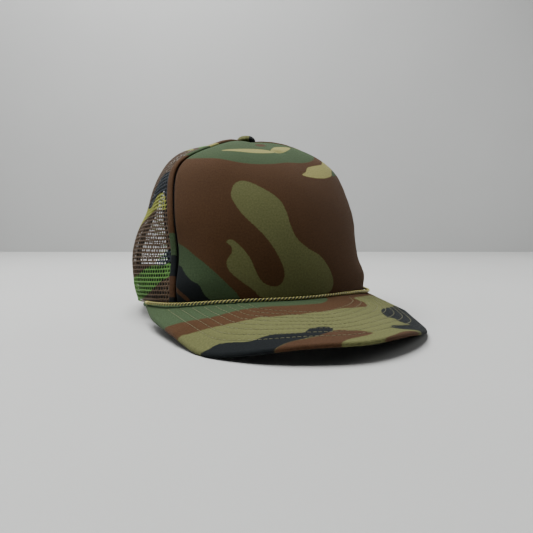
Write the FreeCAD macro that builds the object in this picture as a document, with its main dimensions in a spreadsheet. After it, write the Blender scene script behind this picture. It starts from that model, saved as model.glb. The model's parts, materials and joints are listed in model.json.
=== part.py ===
"""Trucker mesh cap: printed foam front, four mesh panels, flat visor with a rope, snap closure at the back.

Frame: the cap stands on the floor (z = 0) on the back of its rim and the front corners of its visor.
The visor points to -Y, +X is the wearer's left, +Z is up. Millimetres.
The crown is worked out square to its own rim and then tipped back about the rear of the rim.
"""
import FreeCAD, Part
import math
import os

from FreeCAD import Placement, Rotation, Vector

os.makedirs("parts", exist_ok=True)
doc = FreeCAD.newDocument("trucker_mesh_cap")

# ---------------------------------------------------------------- driving dimensions

SIZES = {
    "crown_half_width": 93.0,      # rim, ear to ear, half
    "crown_half_length": 98.0,     # rim, brow to nape, half
    "crown_height": 125.0,         # above the rim, along the crown's own axis
    "crown_tilt": 6.0,             # degrees, the rim rises towards the front
    "apex_forward": 10.0,          # the button sits ahead of the middle of the rim
    "frame_shift": 36.6,           # moves the whole cap so that z axis runs through its middle
    "fabric_thick": 0.8,
    "foam_thick": 3.0,
    "mesh_thick": 1.0,
    "tape_thick": 0.8,
    "tape_width": 12.0,
    "welt_width": 5.0,
    "layer_gap": 0.2,
    "band_height": 30.0,
    "band_thick": 2.0,
    "arch_radius": 36.0,           # clear radius of the opening at the back
    "arch_centre": 5.0,            # height of the arch's centre above the rim
    "binding_width": 6.0,
    "binding_thick": 3.2,
    "strap_height": 18.0,
    "strap_thick": 1.3,
    "strap_base": 4.5,             # bottom edge of the straps above the rim
    "strap_radius": 140.0,
    "strap_gap": 0.3,
    "strap_back": 91.5,            # outer face of the straps behind the crown's middle
    "hinge_side": 31.0,            # where a strap leaves its sewn anchor
    "snap_pitch": 9.5,
    "snap_count": 6.0,
    "hole_radius": 2.9,
    "peg_radius": 2.2,
    "peg_length": 2.5,
    "visor_slope": 0.14,
    "visor_arch": 14.6,            # drop of the visor's edge 85 mm from its middle, at the crown
    "visor_arch_gain": 14.7,       # how much more it drops 70 mm ahead of the crown
    "visor_lift": 1.4,             # visor top above the rim, at the brow
    "board_thick": 1.5,
    "under_thick": 0.4,
    "board_inset": 1.5,
    "stitch_first": 10.3,          # outermost row of stitching inside the visor's edge
    "stitch_pitch": 5.3,
    "stitch_rows": 8.0,
    "stitch_width": 0.5,
    "stitch_height": 0.35,
    "stitch_stop": 5.8,            # the rows end this far ahead of the crown, clear of the rope
    "rope_radius": 1.1,
    "tack_length": 4.0,
    "button_radius": 7.6,
    "button_height": 5.6,
    "shank_radius": 1.2,
    "back_radius": 6.5,
    "back_thick": 1.0,
}

sheet = doc.addObject("Spreadsheet::Sheet", "Sizes")
for row, (name, value) in enumerate(SIZES.items(), start=1):
    sheet.set(f"A{row}", name)
    sheet.set(f"B{row}", str(value))
    sheet.setAlias(f"B{row}", name)
doc.recompute()


def size(name):
    """Read one driving dimension from the sheet."""
    return float(sheet.get(name))


HALF_WIDTH = size("crown_half_width")
HALF_LENGTH = size("crown_half_length")
HEIGHT = size("crown_height")
TILT = math.radians(size("crown_tilt"))
SHIFT = size("frame_shift")
ROUNDNESS_TOP = 2.7                # exponent of the crown's profile along its height
SEAM_AT_BUTTON = 45.0              # azimuth of the front seam at the button, degrees from the brow
SEAM_SWING = 16.5                  # how far it swings back on its way up
SEAM_WIDEST = 0.75                 # reach at which it has swung furthest back
SIDE_SEAM = 115.0
VISOR_BEND = 2.8                   # the visor is flat in the middle and bends down towards its sides
VISOR_CENTRE = -40.0               # the visor's outline is drawn round this point behind the brow
VISOR_ANGLES = (0, 20, 38, 52, 65, 80, 100)
VISOR_REACH = (131.5, 126.0, 118.0, 106.0, 97.0, 92.2, 90.8)

# The crown's own frame, tipped back about the rear of the rim.
CROWN_PLACEMENT = Placement(
    Vector(0, SHIFT, HALF_LENGTH * math.sin(TILT)),
    Rotation(Vector(1, 0, 0), -size("crown_tilt")),
)
CAP_PLACEMENT = Placement(Vector(0, SHIFT, 0), Rotation())

nodes = []


def keep(obj, label, placement=None):
    """Name a finished sub-part and remember it for export."""
    obj.Label = label
    if placement is not None:
        obj.Placement = placement
    nodes.append(obj)
    return obj


# ---------------------------------------------------------------- crown surface


def reach_exponent(azimuth):
    """The crown's profile is fuller at the sides than at the front and back."""
    angle = math.radians(azimuth)
    return 1.6 + 0.8 * math.sin(angle) ** 2 + 0.1 * math.cos(angle)


def crown_point(azimuth, reach, depth):
    """Point in the crown's frame: reach is 1 at the rim and 0 at the button, depth goes inwards."""
    angle = math.radians(azimuth)
    rise = max(0.0, 1.0 - reach ** reach_exponent(azimuth)) ** (1.0 / ROUNDNESS_TOP)
    return Vector(
        (HALF_WIDTH - depth) * reach * math.sin(angle),
        -size("apex_forward") * (1.0 - reach) - (HALF_LENGTH - depth) * reach * math.cos(angle),
        (HEIGHT - depth) * rise,
    )


def reach_at_height(azimuth, height, depth):
    """The reach at which the crown is this high above its rim."""
    share = (height / (HEIGHT - depth)) ** ROUNDNESS_TOP
    return max(0.0, 1.0 - share) ** (1.0 / reach_exponent(azimuth))


def seam_azimuth(reach):
    """The front seam swings back above the ears and comes forward again to the button."""
    spread = 0.3 if reach > SEAM_WIDEST else 0.25
    return SEAM_AT_BUTTON + SEAM_SWING * math.exp(-((reach - SEAM_WIDEST) / spread) ** 2)


def arc_degrees(length, reach):
    """Azimuth taken up by a length across the crown at this reach."""
    return math.degrees(length / (HALF_WIDTH * max(reach, 0.05)))


def skin(rows):
    surface = Part.BSplineSurface()
    surface.interpolate(rows)
    return surface


def solid_between(outer_rows, inner_rows):
    """Closed solid between two grids of points that run the same way."""
    outer = skin(outer_rows)
    inner = skin(inner_rows)
    u0, u1, v0, v1 = outer.bounds()
    s0, s1, t0, t1 = inner.bounds()
    pairs = [
        (outer.uIso(u0), inner.uIso(s0)),
        (outer.uIso(u1), inner.uIso(s1)),
        (outer.vIso(v0), inner.vIso(t0)),
        (outer.vIso(v1), inner.vIso(t1)),
    ]
    faces = [outer.toShape(), inner.toShape()]
    faces += [Part.makeRuledSurface(a.toShape(), b.toShape()) for a, b in pairs]
    shell = Part.makeShell(faces)
    shell.sewShape()
    solid = Part.makeSolid(shell)
    if solid.Volume < 0:
        solid.reverse()
    return solid


def panel_solid(start, end, depths, top_reach, columns, rows=15):
    """Crown panel from the rim up to top_reach; start and end give azimuth at each reach."""
    grids = []
    top = (math.degrees(math.acos(top_reach)) / 90.0) ** (1 / 1.35)
    for depth in depths:
        grid = []
        for row in range(rows + 1):
            reach = math.cos(math.radians(90.0 * (top * row / rows) ** 1.35))
            first, last = start(reach), end(reach)
            line = [
                crown_point(first + (last - first) * column / columns, reach, depth)
                for column in range(columns + 1)
            ]
            grid.append(line)
        grids.append(grid)
    return solid_between(*grids)


def band_solid(first, last, heights, depths, columns, rows=4):
    """Band of the crown between two heights above the rim and two azimuths."""
    grids = []
    for depth in depths:
        grid = []
        for row in range(rows + 1):
            height = heights[0] + (heights[1] - heights[0]) * row / rows
            line = []
            for column in range(columns + 1):
                azimuth = first + (last - first) * column / columns
                reach = reach_at_height(azimuth, height, depth)
                line.append(crown_point(azimuth, reach, depth))
            grid.append(line)
        grids.append(grid)
    return solid_between(*grids)


def arch_cutter(radius):
    """Round bar along the cap's length that cuts the opening at the back of the crown."""
    start = Vector(0, 40, size("arch_centre"))
    return Part.makeCylinder(radius, 90, start, Vector(0, 1, 0))


def above_rim(height):
    """Large block above a plane parallel to the rim."""
    return Part.makeBox(400, 400, 300, Vector(-200, -200, height))


def shell_part(label, shape):
    """Crown sub-part whose curved shape no primitive or sketch feature gives."""
    part = doc.addObject("Part::Feature", label)
    part.Shape = shape
    return keep(part, label, CROWN_PLACEMENT)


# ---------------------------------------------------------------- crown pieces

FABRIC = size("fabric_thick")
GAP = size("layer_gap")
FOAM_IN = FABRIC + GAP + size("foam_thick")
MESH_OUT = FABRIC
MESH_IN = MESH_OUT + size("mesh_thick")
TAPE_OUT = MESH_IN + GAP
TAPE_IN = TAPE_OUT + size("tape_thick")
BAND_OUT = FOAM_IN + 0.3
BAND_IN = BAND_OUT + size("band_thick")
BUTTON_HOLE = 0.035                # reach at which the panels stop round the button's shank
TRIM = 0.5                         # every rim edge is trimmed flat at this height
BINDING_OUTER = size("arch_radius") + size("binding_width")


def mirrored(shape):
    return shape.mirror(Vector(0, 0, 0), Vector(1, 0, 0))


def front_pieces():
    """Printed front panel, and the foam that backs it."""
    edge = lambda reach: seam_azimuth(reach) - arc_degrees(GAP, reach)
    opposite = lambda reach: -edge(reach)
    for label, depths in (
        ("front_panel", (0.0, FABRIC)),
        ("front_foam", (FABRIC + GAP, FOAM_IN)),
    ):
        panel = panel_solid(opposite, edge, depths, BUTTON_HOLE, 24)
        shell_part(label, panel.common(above_rim(TRIM)))


def seam_welts():
    """Folded seam margin of the printed fabric that lies over the mesh beside each front seam."""
    start = lambda reach: seam_azimuth(reach) + arc_degrees(GAP, reach)
    end = lambda reach: start(reach) + min(arc_degrees(size("welt_width"), reach), 20.0)
    welt = panel_solid(start, end, (-0.1, FABRIC - GAP), 0.12, 2).common(above_rim(TRIM))
    shell_part("seam_welt_left", welt)
    shell_part("seam_welt_right", mirrored(welt))


def mesh_panels():
    """Two side and two rear panels of netting; the rear pair leave the arch free."""
    side_start = lambda reach: seam_azimuth(reach) + arc_degrees(GAP, reach)
    side_end = lambda reach: SIDE_SEAM - arc_degrees(GAP, reach) / 2
    rear_start = lambda reach: SIDE_SEAM + arc_degrees(GAP, reach) / 2
    rear_end = lambda reach: 180.0 - arc_degrees(GAP, reach) / 2
    depths = (MESH_OUT, MESH_IN)
    side = panel_solid(side_start, side_end, depths, BUTTON_HOLE, 12).common(above_rim(TRIM))
    rear = panel_solid(rear_start, rear_end, depths, BUTTON_HOLE, 12).common(above_rim(TRIM))
    rear = rear.cut(arch_cutter(BINDING_OUTER + GAP))
    shell_part("side_mesh_left", side)
    shell_part("side_mesh_right", mirrored(side))
    shell_part("rear_mesh_left", rear)
    shell_part("rear_mesh_right", mirrored(rear))


def seam_tapes():
    """Tapes inside the crown that cover the seams and gather at the button."""
    depths = (TAPE_OUT, TAPE_IN)
    width = size("tape_width")
    front_start = lambda reach: seam_azimuth(reach) + arc_degrees(3 * GAP, reach)
    front_end = lambda reach: front_start(reach) + min(arc_degrees(width, reach), 18.0)
    front = panel_solid(front_start, front_end, depths, 0.09, 3).common(above_rim(TRIM))
    half = lambda reach: min(arc_degrees(width / 2, reach), 11.0)
    side_start = lambda reach: SIDE_SEAM - half(reach)
    side_end = lambda reach: SIDE_SEAM + half(reach)
    side = panel_solid(side_start, side_end, depths, 0.09, 3).common(above_rim(TRIM))
    rear_start = lambda reach: 180.0 - half(reach)
    rear_end = lambda reach: 180.0 + half(reach)
    rear = panel_solid(rear_start, rear_end, depths, 0.09, 3)
    rear = rear.cut(arch_cutter(BINDING_OUTER + GAP)).common(above_rim(size("arch_centre")))
    shell_part("front_seam_tape_left", front)
    shell_part("front_seam_tape_right", mirrored(front))
    shell_part("side_seam_tape_left", side)
    shell_part("side_seam_tape_right", mirrored(side))
    shell_part("rear_seam_tape", rear)


def sweatband():
    """Band inside the rim, open across the arch at the back."""
    end = 148.0
    band = band_solid(-end, end, (0.0, size("band_height")), (BAND_OUT, BAND_IN), 48)
    shell_part("sweatband", band.common(above_rim(TRIM)))


def arch_binding():
    """Folded tape round the edge of the arch."""
    outer = TAPE_OUT - GAP - size("binding_thick") + 1.2
    thick = band_solid(150, 210, (0.0, 54.0), (outer, outer + size("binding_thick")), 16, 8)
    ring = arch_cutter(BINDING_OUTER).cut(arch_cutter(size("arch_radius")))
    shell_part("arch_binding", thick.common(ring).common(above_rim(TRIM)))


def strap_anchors():
    """Sewn fabric pockets inside the rear panels that hold the ends of the two straps."""
    heights = (size("strap_base") - 1.0, size("strap_base") + size("strap_height") + 1.0)
    anchor = band_solid(149.5, 158.8, heights, (3.4, 5.8), 4)
    shell_part("strap_anchor_left", anchor)
    shell_part("strap_anchor_right", mirrored(anchor))


# ---------------------------------------------------------------- bodies with sketches


def origin_feature(body, role):
    return next(item for item in body.Origin.OriginFeatures if item.Role == role)


def new_sketch(body, role, name):
    sketch = body.newObject("Sketcher::SketchObject", name)
    sketch.AttachmentSupport = (origin_feature(body, role), [""])
    sketch.MapMode = "FlatFace"
    return sketch


def draw_polygon(sketch, points):
    for start, end in zip(points, points[1:] + points[:1]):
        sketch.addGeometry(Part.LineSegment(Vector(*start, 0), Vector(*end, 0)), False)


def revolve_about_z(body, sketch, name):
    revolution = body.newObject("PartDesign::Revolution", name)
    revolution.Profile = sketch
    revolution.ReferenceAxis = (origin_feature(body, "Z_Axis"), [""])
    revolution.Angle = 360
    return revolution


def button():
    """Fabric-covered button over the apex, and the flat rivet that holds it from inside."""
    dome = doc.addObject("PartDesign::Body", "ButtonBody")
    profile = new_sketch(dome, "XZ_Plane", "ButtonProfile")
    radius = size("button_radius")
    height = size("button_height")
    shank = size("shank_radius")
    skirt = 1.6
    crest = Vector(shank, height, 0)
    shoulder = Vector(radius * 0.8, height * 0.72, 0)
    edge = Vector(radius, skirt, 0)
    profile.addGeometry(Part.Arc(crest, shoulder, edge), False)
    profile.addGeometry(Part.LineSegment(edge, Vector(radius - 0.9, 0.4, 0)), False)
    profile.addGeometry(Part.LineSegment(Vector(radius - 0.9, 0.4, 0), Vector(shank, 0.4, 0)), False)
    profile.addGeometry(Part.LineSegment(Vector(shank, 0.4, 0), crest), False)
    revolve_about_z(dome, profile, "ButtonDome")

    rivet = doc.addObject("PartDesign::Body", "RivetBody")
    section = new_sketch(rivet, "XZ_Plane", "RivetSection")
    below = -(BAND_IN - BAND_OUT) - FOAM_IN
    plate = size("back_thick")
    rim = size("back_radius")
    draw_polygon(section, [
        (0, below - plate), (rim, below - plate), (rim, below),
        (shank - 0.05, below), (shank - 0.05, height - 0.6), (0, height - 0.6),
    ])
    revolve_about_z(rivet, section, "RivetShape")
    doc.recompute()
    seat = CROWN_PLACEMENT.multiply(
        Placement(Vector(0, -size("apex_forward"), HEIGHT - 0.2), Rotation())
    )
    keep(dome, "top_button", seat)
    keep(rivet, "button_rivet", seat)


def strap_body(label, radius, hinge_side, free_side):
    """Curved plastic strip between its hinge and its rounded free end, drawn in plan."""
    body = doc.addObject("PartDesign::Body", label + "_body")
    plan = new_sketch(body, "XY_Plane", label + "_plan")
    thick = size("strap_thick")
    middle = radius - thick / 2

    def at(distance, side):
        angle = side / middle
        return Vector(distance * math.sin(angle), distance * math.cos(angle), 0)

    centre = (hinge_side + free_side) / 2
    plan.addGeometry(Part.Arc(at(radius, free_side), at(radius, centre), at(radius, hinge_side)), False)
    end = 1 if hinge_side > free_side else -1
    plan.addGeometry(Part.Arc(
        at(radius, hinge_side), at(middle, hinge_side + end * thick / 2),
        at(radius - thick, hinge_side),
    ), False)
    plan.addGeometry(Part.Arc(
        at(radius - thick, hinge_side), at(radius - thick, centre), at(radius - thick, free_side),
    ), False)
    plan.addGeometry(Part.LineSegment(at(radius - thick, free_side), at(radius, free_side)), False)
    pad = body.newObject("PartDesign::Pad", label + "_pad")
    pad.Profile = plan
    pad.setExpression("Length", "Sizes.strap_height")
    doc.recompute()
    return body


def snap_sketch(body, label, radius, first_angle):
    """Circle square to the strap at its first snap."""
    circle = new_sketch(body, "XZ_Plane", label)
    circle.AttachmentOffset = Placement(Vector(0, 0, 0), Rotation(Vector(0, 1, 0), first_angle))
    circle.addGeometry(Part.Circle(
        Vector(0, size("strap_height") / 2, 0), Vector(0, 0, 1), radius), False)
    return circle


def repeat_round_z(body, feature, name):
    """Repeat one snap along the strap at the snap pitch."""
    count = int(size("snap_count"))
    pattern = body.newObject("PartDesign::PolarPattern", name)
    pattern.Originals = [feature]
    pattern.Axis = (origin_feature(body, "Z_Axis"), [""])
    pattern.Angle = math.degrees(size("snap_pitch") / size("strap_radius")) * (count - 1)
    pattern.Occurrences = count
    body.Tip = pattern
    return pattern


def straps():
    """Outer strap with holes, anchored on the right, over the inner strap with pegs."""
    count = int(size("snap_count"))
    pitch_angle = math.degrees(size("snap_pitch") / size("strap_radius"))
    free = (count - 3.5) * size("snap_pitch")
    hinge = size("hinge_side")
    outer_radius = size("strap_radius")
    inner_radius = outer_radius - size("strap_thick") - size("strap_gap")
    seat = CROWN_PLACEMENT.multiply(Placement(
        Vector(0, size("strap_back") - outer_radius, size("strap_base")), Rotation()))

    outer = strap_body("hole_strap", outer_radius, -hinge, free)
    solid_volume = outer.Shape.Volume
    hole_circle = snap_sketch(outer, "hole_circle", size("hole_radius"), -2 * pitch_angle)
    holes = outer.newObject("PartDesign::Pocket", "first_hole")
    holes.Profile = hole_circle
    holes.Length = outer_radius + 10
    doc.recompute()
    repeat_round_z(outer, holes, "hole_row")
    doc.recompute()
    print("hole strap, one hole and all cut:", solid_volume, holes.Shape.Volume, outer.Shape.Volume)
    keep(outer, "hole_strap", seat)

    inner = strap_body("peg_strap", inner_radius, hinge, -free)
    peg_circle = snap_sketch(inner, "peg_circle", size("peg_radius"), -3 * pitch_angle)
    lift = inner_radius - 0.5 * size("strap_thick")
    peg_circle.AttachmentOffset = peg_circle.AttachmentOffset.multiply(
        Placement(Vector(0, 0, -lift), Rotation()))
    pegs = inner.newObject("PartDesign::Pad", "first_peg")
    pegs.Profile = peg_circle
    pegs.Length = size("peg_length") + 0.5 * size("strap_thick")
    pegs.Reversed = True
    doc.recompute()
    repeat_round_z(inner, pegs, "peg_row")
    doc.recompute()
    print("peg strap, one peg and all:", pegs.Shape.Volume, inner.Shape.Volume)
    keep(inner, "peg_strap", seat)


# ---------------------------------------------------------------- visor


def visor_height(x, y):
    """Top of the visor: it slopes down to the front and arches over its width."""
    brow = -HALF_LENGTH
    ahead = brow - y
    start = 2 * HALF_LENGTH * math.sin(TILT) + size("visor_lift")
    gain = size("visor_arch_gain") * min(max(ahead / 70.0, 0.0), 1.2)
    return start - size("visor_slope") * ahead - (size("visor_arch") + gain) * abs(x / 85.0) ** VISOR_BEND


def visor_slab(top, thick):
    """Curved plate whose upper face lies this far above the visor's top surface."""
    rows = []
    for row in range(17):
        y = -176.0 + 10.0 * row
        rows.append([
            Vector(x, y, visor_height(x, y) + top) for x in range(-98, 99, 14)
        ])
    return skin(rows).toShape().extrude(Vector(0, 0, -thick))


def visor_curve(inset):
    """Outline of the visor in plan, drawn this far inside its edge."""
    points = []
    for side in (-1, 1):
        half = []
        for angle, reach in zip(VISOR_ANGLES, VISOR_REACH):
            turn = math.radians(angle) * side
            distance = reach - inset
            half.append(Vector(distance * math.sin(turn), VISOR_CENTRE - distance * math.cos(turn), -60))
        points += half[:0:-1] if side < 0 else half
    return points


def visor_face(inset):
    points = visor_curve(inset)
    curve = Part.BSplineCurve()
    curve.interpolate(points)
    edges = [curve.toShape(), Part.LineSegment(points[-1], points[0]).toShape()]
    return Part.Face(Part.Wire(edges))


def visor_prism(inset):
    return visor_face(inset).extrude(Vector(0, 0, 120))


def crown_keep_out(clearance):
    """Upright elliptical block that the visor's inner edge follows."""
    long_axis = HALF_LENGTH * math.cos(TILT) + clearance
    short_axis = HALF_WIDTH + clearance
    ellipse = Part.Ellipse(Vector(0, long_axis, -60), Vector(short_axis, 0, -60), Vector(0, 0, -60))
    return Part.Face(Part.Wire(ellipse.toShape())).extrude(Vector(0, 0, 120))


def visor():
    """Printed top cover, stiff board, black under cover, and rows of stitching."""
    crown = crown_keep_out(0.35)
    board_inset = size("board_inset")
    board = size("board_thick")
    layers = (
        ("visor_top_cover", 0.0, FABRIC, 0.0),
        ("visor_board", -FABRIC, board, board_inset),
        ("visor_under_cover", -FABRIC - board, size("under_thick"), 0.0),
    )
    for label, top, thick, inset in layers:
        plate = visor_slab(top, thick).common(visor_prism(inset)).cut(crown)
        part = doc.addObject("Part::Feature", label)
        part.Shape = plate
        keep(part, label, CAP_PLACEMENT)

    height = size("stitch_height")
    slab = visor_slab(height, height)
    rows = []
    for row in range(int(size("stitch_rows"))):
        inset = size("stitch_first") + row * size("stitch_pitch")
        ring = visor_prism(inset).cut(visor_prism(inset + size("stitch_width")))
        line = slab.common(ring).cut(crown_keep_out(size("stitch_stop")))
        rows += [piece for piece in line.Solids if piece.BoundBox.YMax < -42]
    part = doc.addObject("Part::Feature", "visor_stitching")
    part.Shape = Part.Compound(rows)
    keep(part, "visor_stitching", CAP_PLACEMENT)


# ---------------------------------------------------------------- rope

# Centre of the rope from the right-hand end, over the brow, to the left-hand end.
ROPE_ROUTE = [
    (-89.2, -38.0, 15.9), (-85.3, -49.8, 16.5), (-76.2, -64.4, 18.0), (-64.2, -76.3, 19.9),
    (-49.4, -86.5, 21.8), (-32.9, -94.1, 22.7), (-16.4, -98.6, 22.9), (0.0, -100.1, 22.9),
    (16.4, -98.6, 22.9), (32.9, -94.1, 22.7), (49.4, -86.5, 21.8), (64.2, -76.3, 19.9),
    (76.2, -64.4, 18.0), (85.3, -49.8, 16.5), (89.2, -38.0, 15.9),
]


def rope_path(route):
    """Straight runs joined by tangent arcs, each as large as its two runs allow."""
    points = [Vector(*place) for place in route]
    edges = []
    start = points[0]
    radii = []
    for before, here, after in zip(points, points[1:], points[2:]):
        back = (before - here).normalize()
        ahead = (after - here).normalize()
        half_turn = (math.pi - back.getAngle(ahead)) / 2
        run = min((here - before).Length, (after - here).Length)
        radius = 0.45 * run / math.tan(half_turn)
        radii.append(round(radius, 1))
        cut = 0.45 * run
        first = here + back * cut
        last = here + ahead * cut
        bisector = (back + ahead).normalize()
        middle = here + bisector * (radius / math.cos(half_turn) - radius)
        edges.append(Part.LineSegment(start, first).toShape())
        edges.append(Part.Arc(first, middle, last).toShape())
        start = last
    edges.append(Part.LineSegment(start, points[-1]).toShape())
    print("rope radii:", radii)
    return Part.Wire(edges)


def rope():
    """Decorative rope along the seam between crown and visor, and the tacks that hold its ends."""
    path = rope_path(ROPE_ROUTE)
    first = Vector(*ROPE_ROUTE[0])
    heading = (Vector(*ROPE_ROUTE[1]) - first).normalize()
    radius = size("rope_radius")
    section = Part.Wire(Part.makeCircle(radius, first, heading))
    tube = path.makePipeShell([section], True, False)
    print("rope length", path.Length, "volume", tube.Volume, "expected", math.pi * radius ** 2 * path.Length)
    part = doc.addObject("Part::Feature", "rope")
    part.Shape = tube
    keep(part, "rope", CAP_PLACEMENT)

    for label, side in (("rope_tack_right", -1), ("rope_tack_left", 1)):
        block = doc.addObject("Part::Box", label)
        block.setExpression("Length", "Sizes.tack_length")
        block.setExpression("Width", "Sizes.rope_radius * 1.5")
        block.setExpression("Height", "Sizes.rope_radius * 1.5")
        place = first if side < 0 else Vector(-first.x, first.y, first.z)
        out = Vector(side * abs(heading.x), -heading.y, -heading.z)
        turn = Rotation(Vector(1, 0, 0), out)
        corner = turn.multVec(Vector(0, -radius * 0.75, -radius * 0.75))
        keep(block, label, CAP_PLACEMENT.multiply(Placement(place + corner, turn)))


# ---------------------------------------------------------------- build, check and write

front_pieces()
seam_welts()
mesh_panels()
seam_tapes()
sweatband()
arch_binding()
strap_anchors()
straps()
button()
visor()
rope()
doc.recompute()

for obj in doc.Objects:
    if "Invalid" in obj.State or "Error" in obj.State:
        raise RuntimeError(f"{obj.Name} failed: {obj.State}")

whole = FreeCAD.BoundBox()
for obj in nodes:
    shape = obj.Shape
    if shape.isNull() or not shape.isValid() or not shape.Solids:
        raise RuntimeError(f"{obj.Label} has no sound solid")
    whole.add(shape.optimalBoundingBox(False))
    print(f"{obj.Label:24s} solids {len(shape.Solids):2d} volume {shape.Volume:10.1f}")
    shape.exportStep(f"parts/{obj.Label}.step")
print("whole", whole)
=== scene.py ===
"""Looks of the trucker mesh cap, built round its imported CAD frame.

Crown pieces are drawn in crown coordinates: azimuth in degrees from the brow (positive on the
wearer's left), height in millimetres up the cloth from the rim, and depth in millimetres inwards.
Visor pieces are drawn in plan, in millimetres from the middle of the crown.
"""

import json
import math

import bmesh
import bpy
import numpy as np
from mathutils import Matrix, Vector


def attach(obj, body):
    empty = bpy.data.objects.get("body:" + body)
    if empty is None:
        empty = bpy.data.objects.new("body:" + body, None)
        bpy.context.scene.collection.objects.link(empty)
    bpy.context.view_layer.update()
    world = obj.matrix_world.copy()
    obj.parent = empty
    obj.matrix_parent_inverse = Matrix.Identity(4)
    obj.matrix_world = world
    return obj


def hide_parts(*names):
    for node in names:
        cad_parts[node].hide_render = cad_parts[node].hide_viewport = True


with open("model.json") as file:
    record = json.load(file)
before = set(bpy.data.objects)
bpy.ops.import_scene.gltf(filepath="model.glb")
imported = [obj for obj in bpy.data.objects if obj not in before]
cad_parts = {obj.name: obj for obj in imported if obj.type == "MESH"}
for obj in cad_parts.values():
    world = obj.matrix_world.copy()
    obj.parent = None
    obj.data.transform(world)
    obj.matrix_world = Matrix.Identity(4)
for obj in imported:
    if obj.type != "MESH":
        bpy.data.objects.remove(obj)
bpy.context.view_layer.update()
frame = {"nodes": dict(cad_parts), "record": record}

MM = 0.001
HOME = "cap"                       # the body that every sewn piece rides on

# ---------------------------------------------------------------- where the crown stands

HALF_WIDTH = 93.0
HALF_LENGTH = 98.0
CROWN_HEIGHT = 125.0
APEX_FORWARD = 10.0
TRIM = 0.5
PRINT_SCALE = 1.65                 # millimetres of cloth for each degree round the rim
BUTTON_REACH = 0.035
ROUNDNESS_TOP = 2.7                # exponent of the crown's profile along its height

opening = next(m for m in frame["record"]["mounts"] if m["name"] == "head_opening")
CROWN_UP = -np.array(opening["axis"])
CROWN_BACK = np.cross(CROWN_UP, (1.0, 0.0, 0.0))
RIM_CENTRE = np.array(opening["pos_m"]) - TRIM * MM * CROWN_UP
TILT = math.atan2(CROWN_UP[1], CROWN_UP[2])


def to_frame(local):
    """Crown millimetres to metres in the shared frame."""
    x, y, z = (local[..., k, None] for k in range(3))
    return RIM_CENTRE + MM * (x * np.array((1.0, 0.0, 0.0)) + y * CROWN_BACK + z * CROWN_UP)


def roundness(azimuth):
    angle = np.radians(azimuth)
    return 1.6 + 0.8 * np.sin(angle) ** 2 + 0.1 * np.cos(angle)


def crown_local(azimuth, reach, depth):
    """Reach is 1 at the rim and 0 at the button."""
    azimuth, reach, depth = np.broadcast_arrays(azimuth, reach, depth)
    angle = np.radians(azimuth)
    rise = np.clip(1 - reach ** roundness(azimuth), 0, 1) ** (1 / ROUNDNESS_TOP)
    return np.stack([
        (HALF_WIDTH - depth) * reach * np.sin(angle),
        -APEX_FORWARD * (1 - reach) - (HALF_LENGTH - depth) * reach * np.cos(angle),
        (CROWN_HEIGHT - depth) * rise,
    ], axis=-1)


# Length of cloth up each meridian, and the way back from that length to the reach.
STEPS = 240
STEP_POWER = 1.35                  # crowds the steps towards the rim, where the crown is steep
STEP_REACH = np.cos(np.radians(90 * np.linspace(0, 1, STEPS + 1) ** STEP_POWER))
MERIDIANS = np.arange(-180.0, 181.0, 2.0)
HEIGHTS = np.arange(0.0, 175.0, 0.5)
runs = np.linalg.norm(np.diff(crown_local(MERIDIANS[:, None], STEP_REACH[None], 0), axis=1), axis=2)
CLOTH_UP = np.concatenate([np.zeros((len(MERIDIANS), 1)), np.cumsum(runs, axis=1)], axis=1)
REACH_UP = np.array([np.interp(HEIGHTS, row, STEP_REACH) for row in CLOTH_UP])


def lookup(table, row, column):
    """Value between the entries of a table, at fractional places."""
    row = np.clip(row, 0, table.shape[0] - 1.001)
    column = np.clip(column, 0, table.shape[1] - 1.001)
    r, c = row.astype(int), column.astype(int)
    a, b = row - r, column - c
    low = table[r, c] * (1 - b) + table[r, c + 1] * b
    high = table[r + 1, c] * (1 - b) + table[r + 1, c + 1] * b
    return low * (1 - a) + high * a


def height_of(azimuth, reach):
    azimuth, reach = np.broadcast_arrays(np.asarray(azimuth, float), np.asarray(reach, float))
    turn = np.degrees(np.arccos(np.clip(reach, 0, 1))) / 90
    return lookup(CLOTH_UP, (azimuth + 180) / 2, turn ** (1 / STEP_POWER) * STEPS)


def reach_of(azimuth, height):
    azimuth, height = np.broadcast_arrays(np.asarray(azimuth, float), np.asarray(height, float))
    return lookup(REACH_UP, (azimuth + 180) / 2, height * 2)


def per_degree(azimuth, reach):
    """Millimetres of cloth for one degree of azimuth."""
    angle = np.radians(azimuth)
    across = np.hypot(HALF_WIDTH * np.cos(angle), HALF_LENGTH * np.sin(angle))
    return np.maximum(reach, 0.04) * across * math.pi / 180


def ease(value, start, end):
    """0 before start, 1 after end, smooth between."""
    t = np.clip((value - start) / (end - start), 0, 1)
    return t * t * (3 - 2 * t)


def hump(value, middle, width):
    return np.exp(-((value - middle) / width) ** 2)


def give(azimuth, height):
    """How far the cloth has settled inwards from its cut shape: the netting has no foam to hold it."""
    away = np.abs(azimuth)
    side = ease(away, 64, 86)
    corner = ease(away, 34, 52) * (1 - side)
    shoulder = ease(away, 14, 40) * (1 - side)
    net = 2.7 * hump(height, 74, 14) - 1.8 * hump(height, 36, 16) - 4.2 * hump(height, 119, 20)
    net = net + 2.6 * hump(height, 0, 8)
    return side * net + corner * 3.4 * hump(height, 36, 18) - shoulder * 3.7 * hump(height, 99, 20)


def crown_at(azimuth, height, depth):
    """Metres in the shared frame of a place given in crown coordinates."""
    reach = reach_of(azimuth, height)
    return to_frame(crown_local(azimuth, reach, depth + give(azimuth, height)))


SEAM_AT_BUTTON = 45.0              # azimuth of the front seam
SEAM_SWING = 16.5                  # how far it swings back on its way up
SEAM_WIDEST = 0.75                 # reach at which it has swung furthest back
SIDE_SEAM = 115.0


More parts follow.
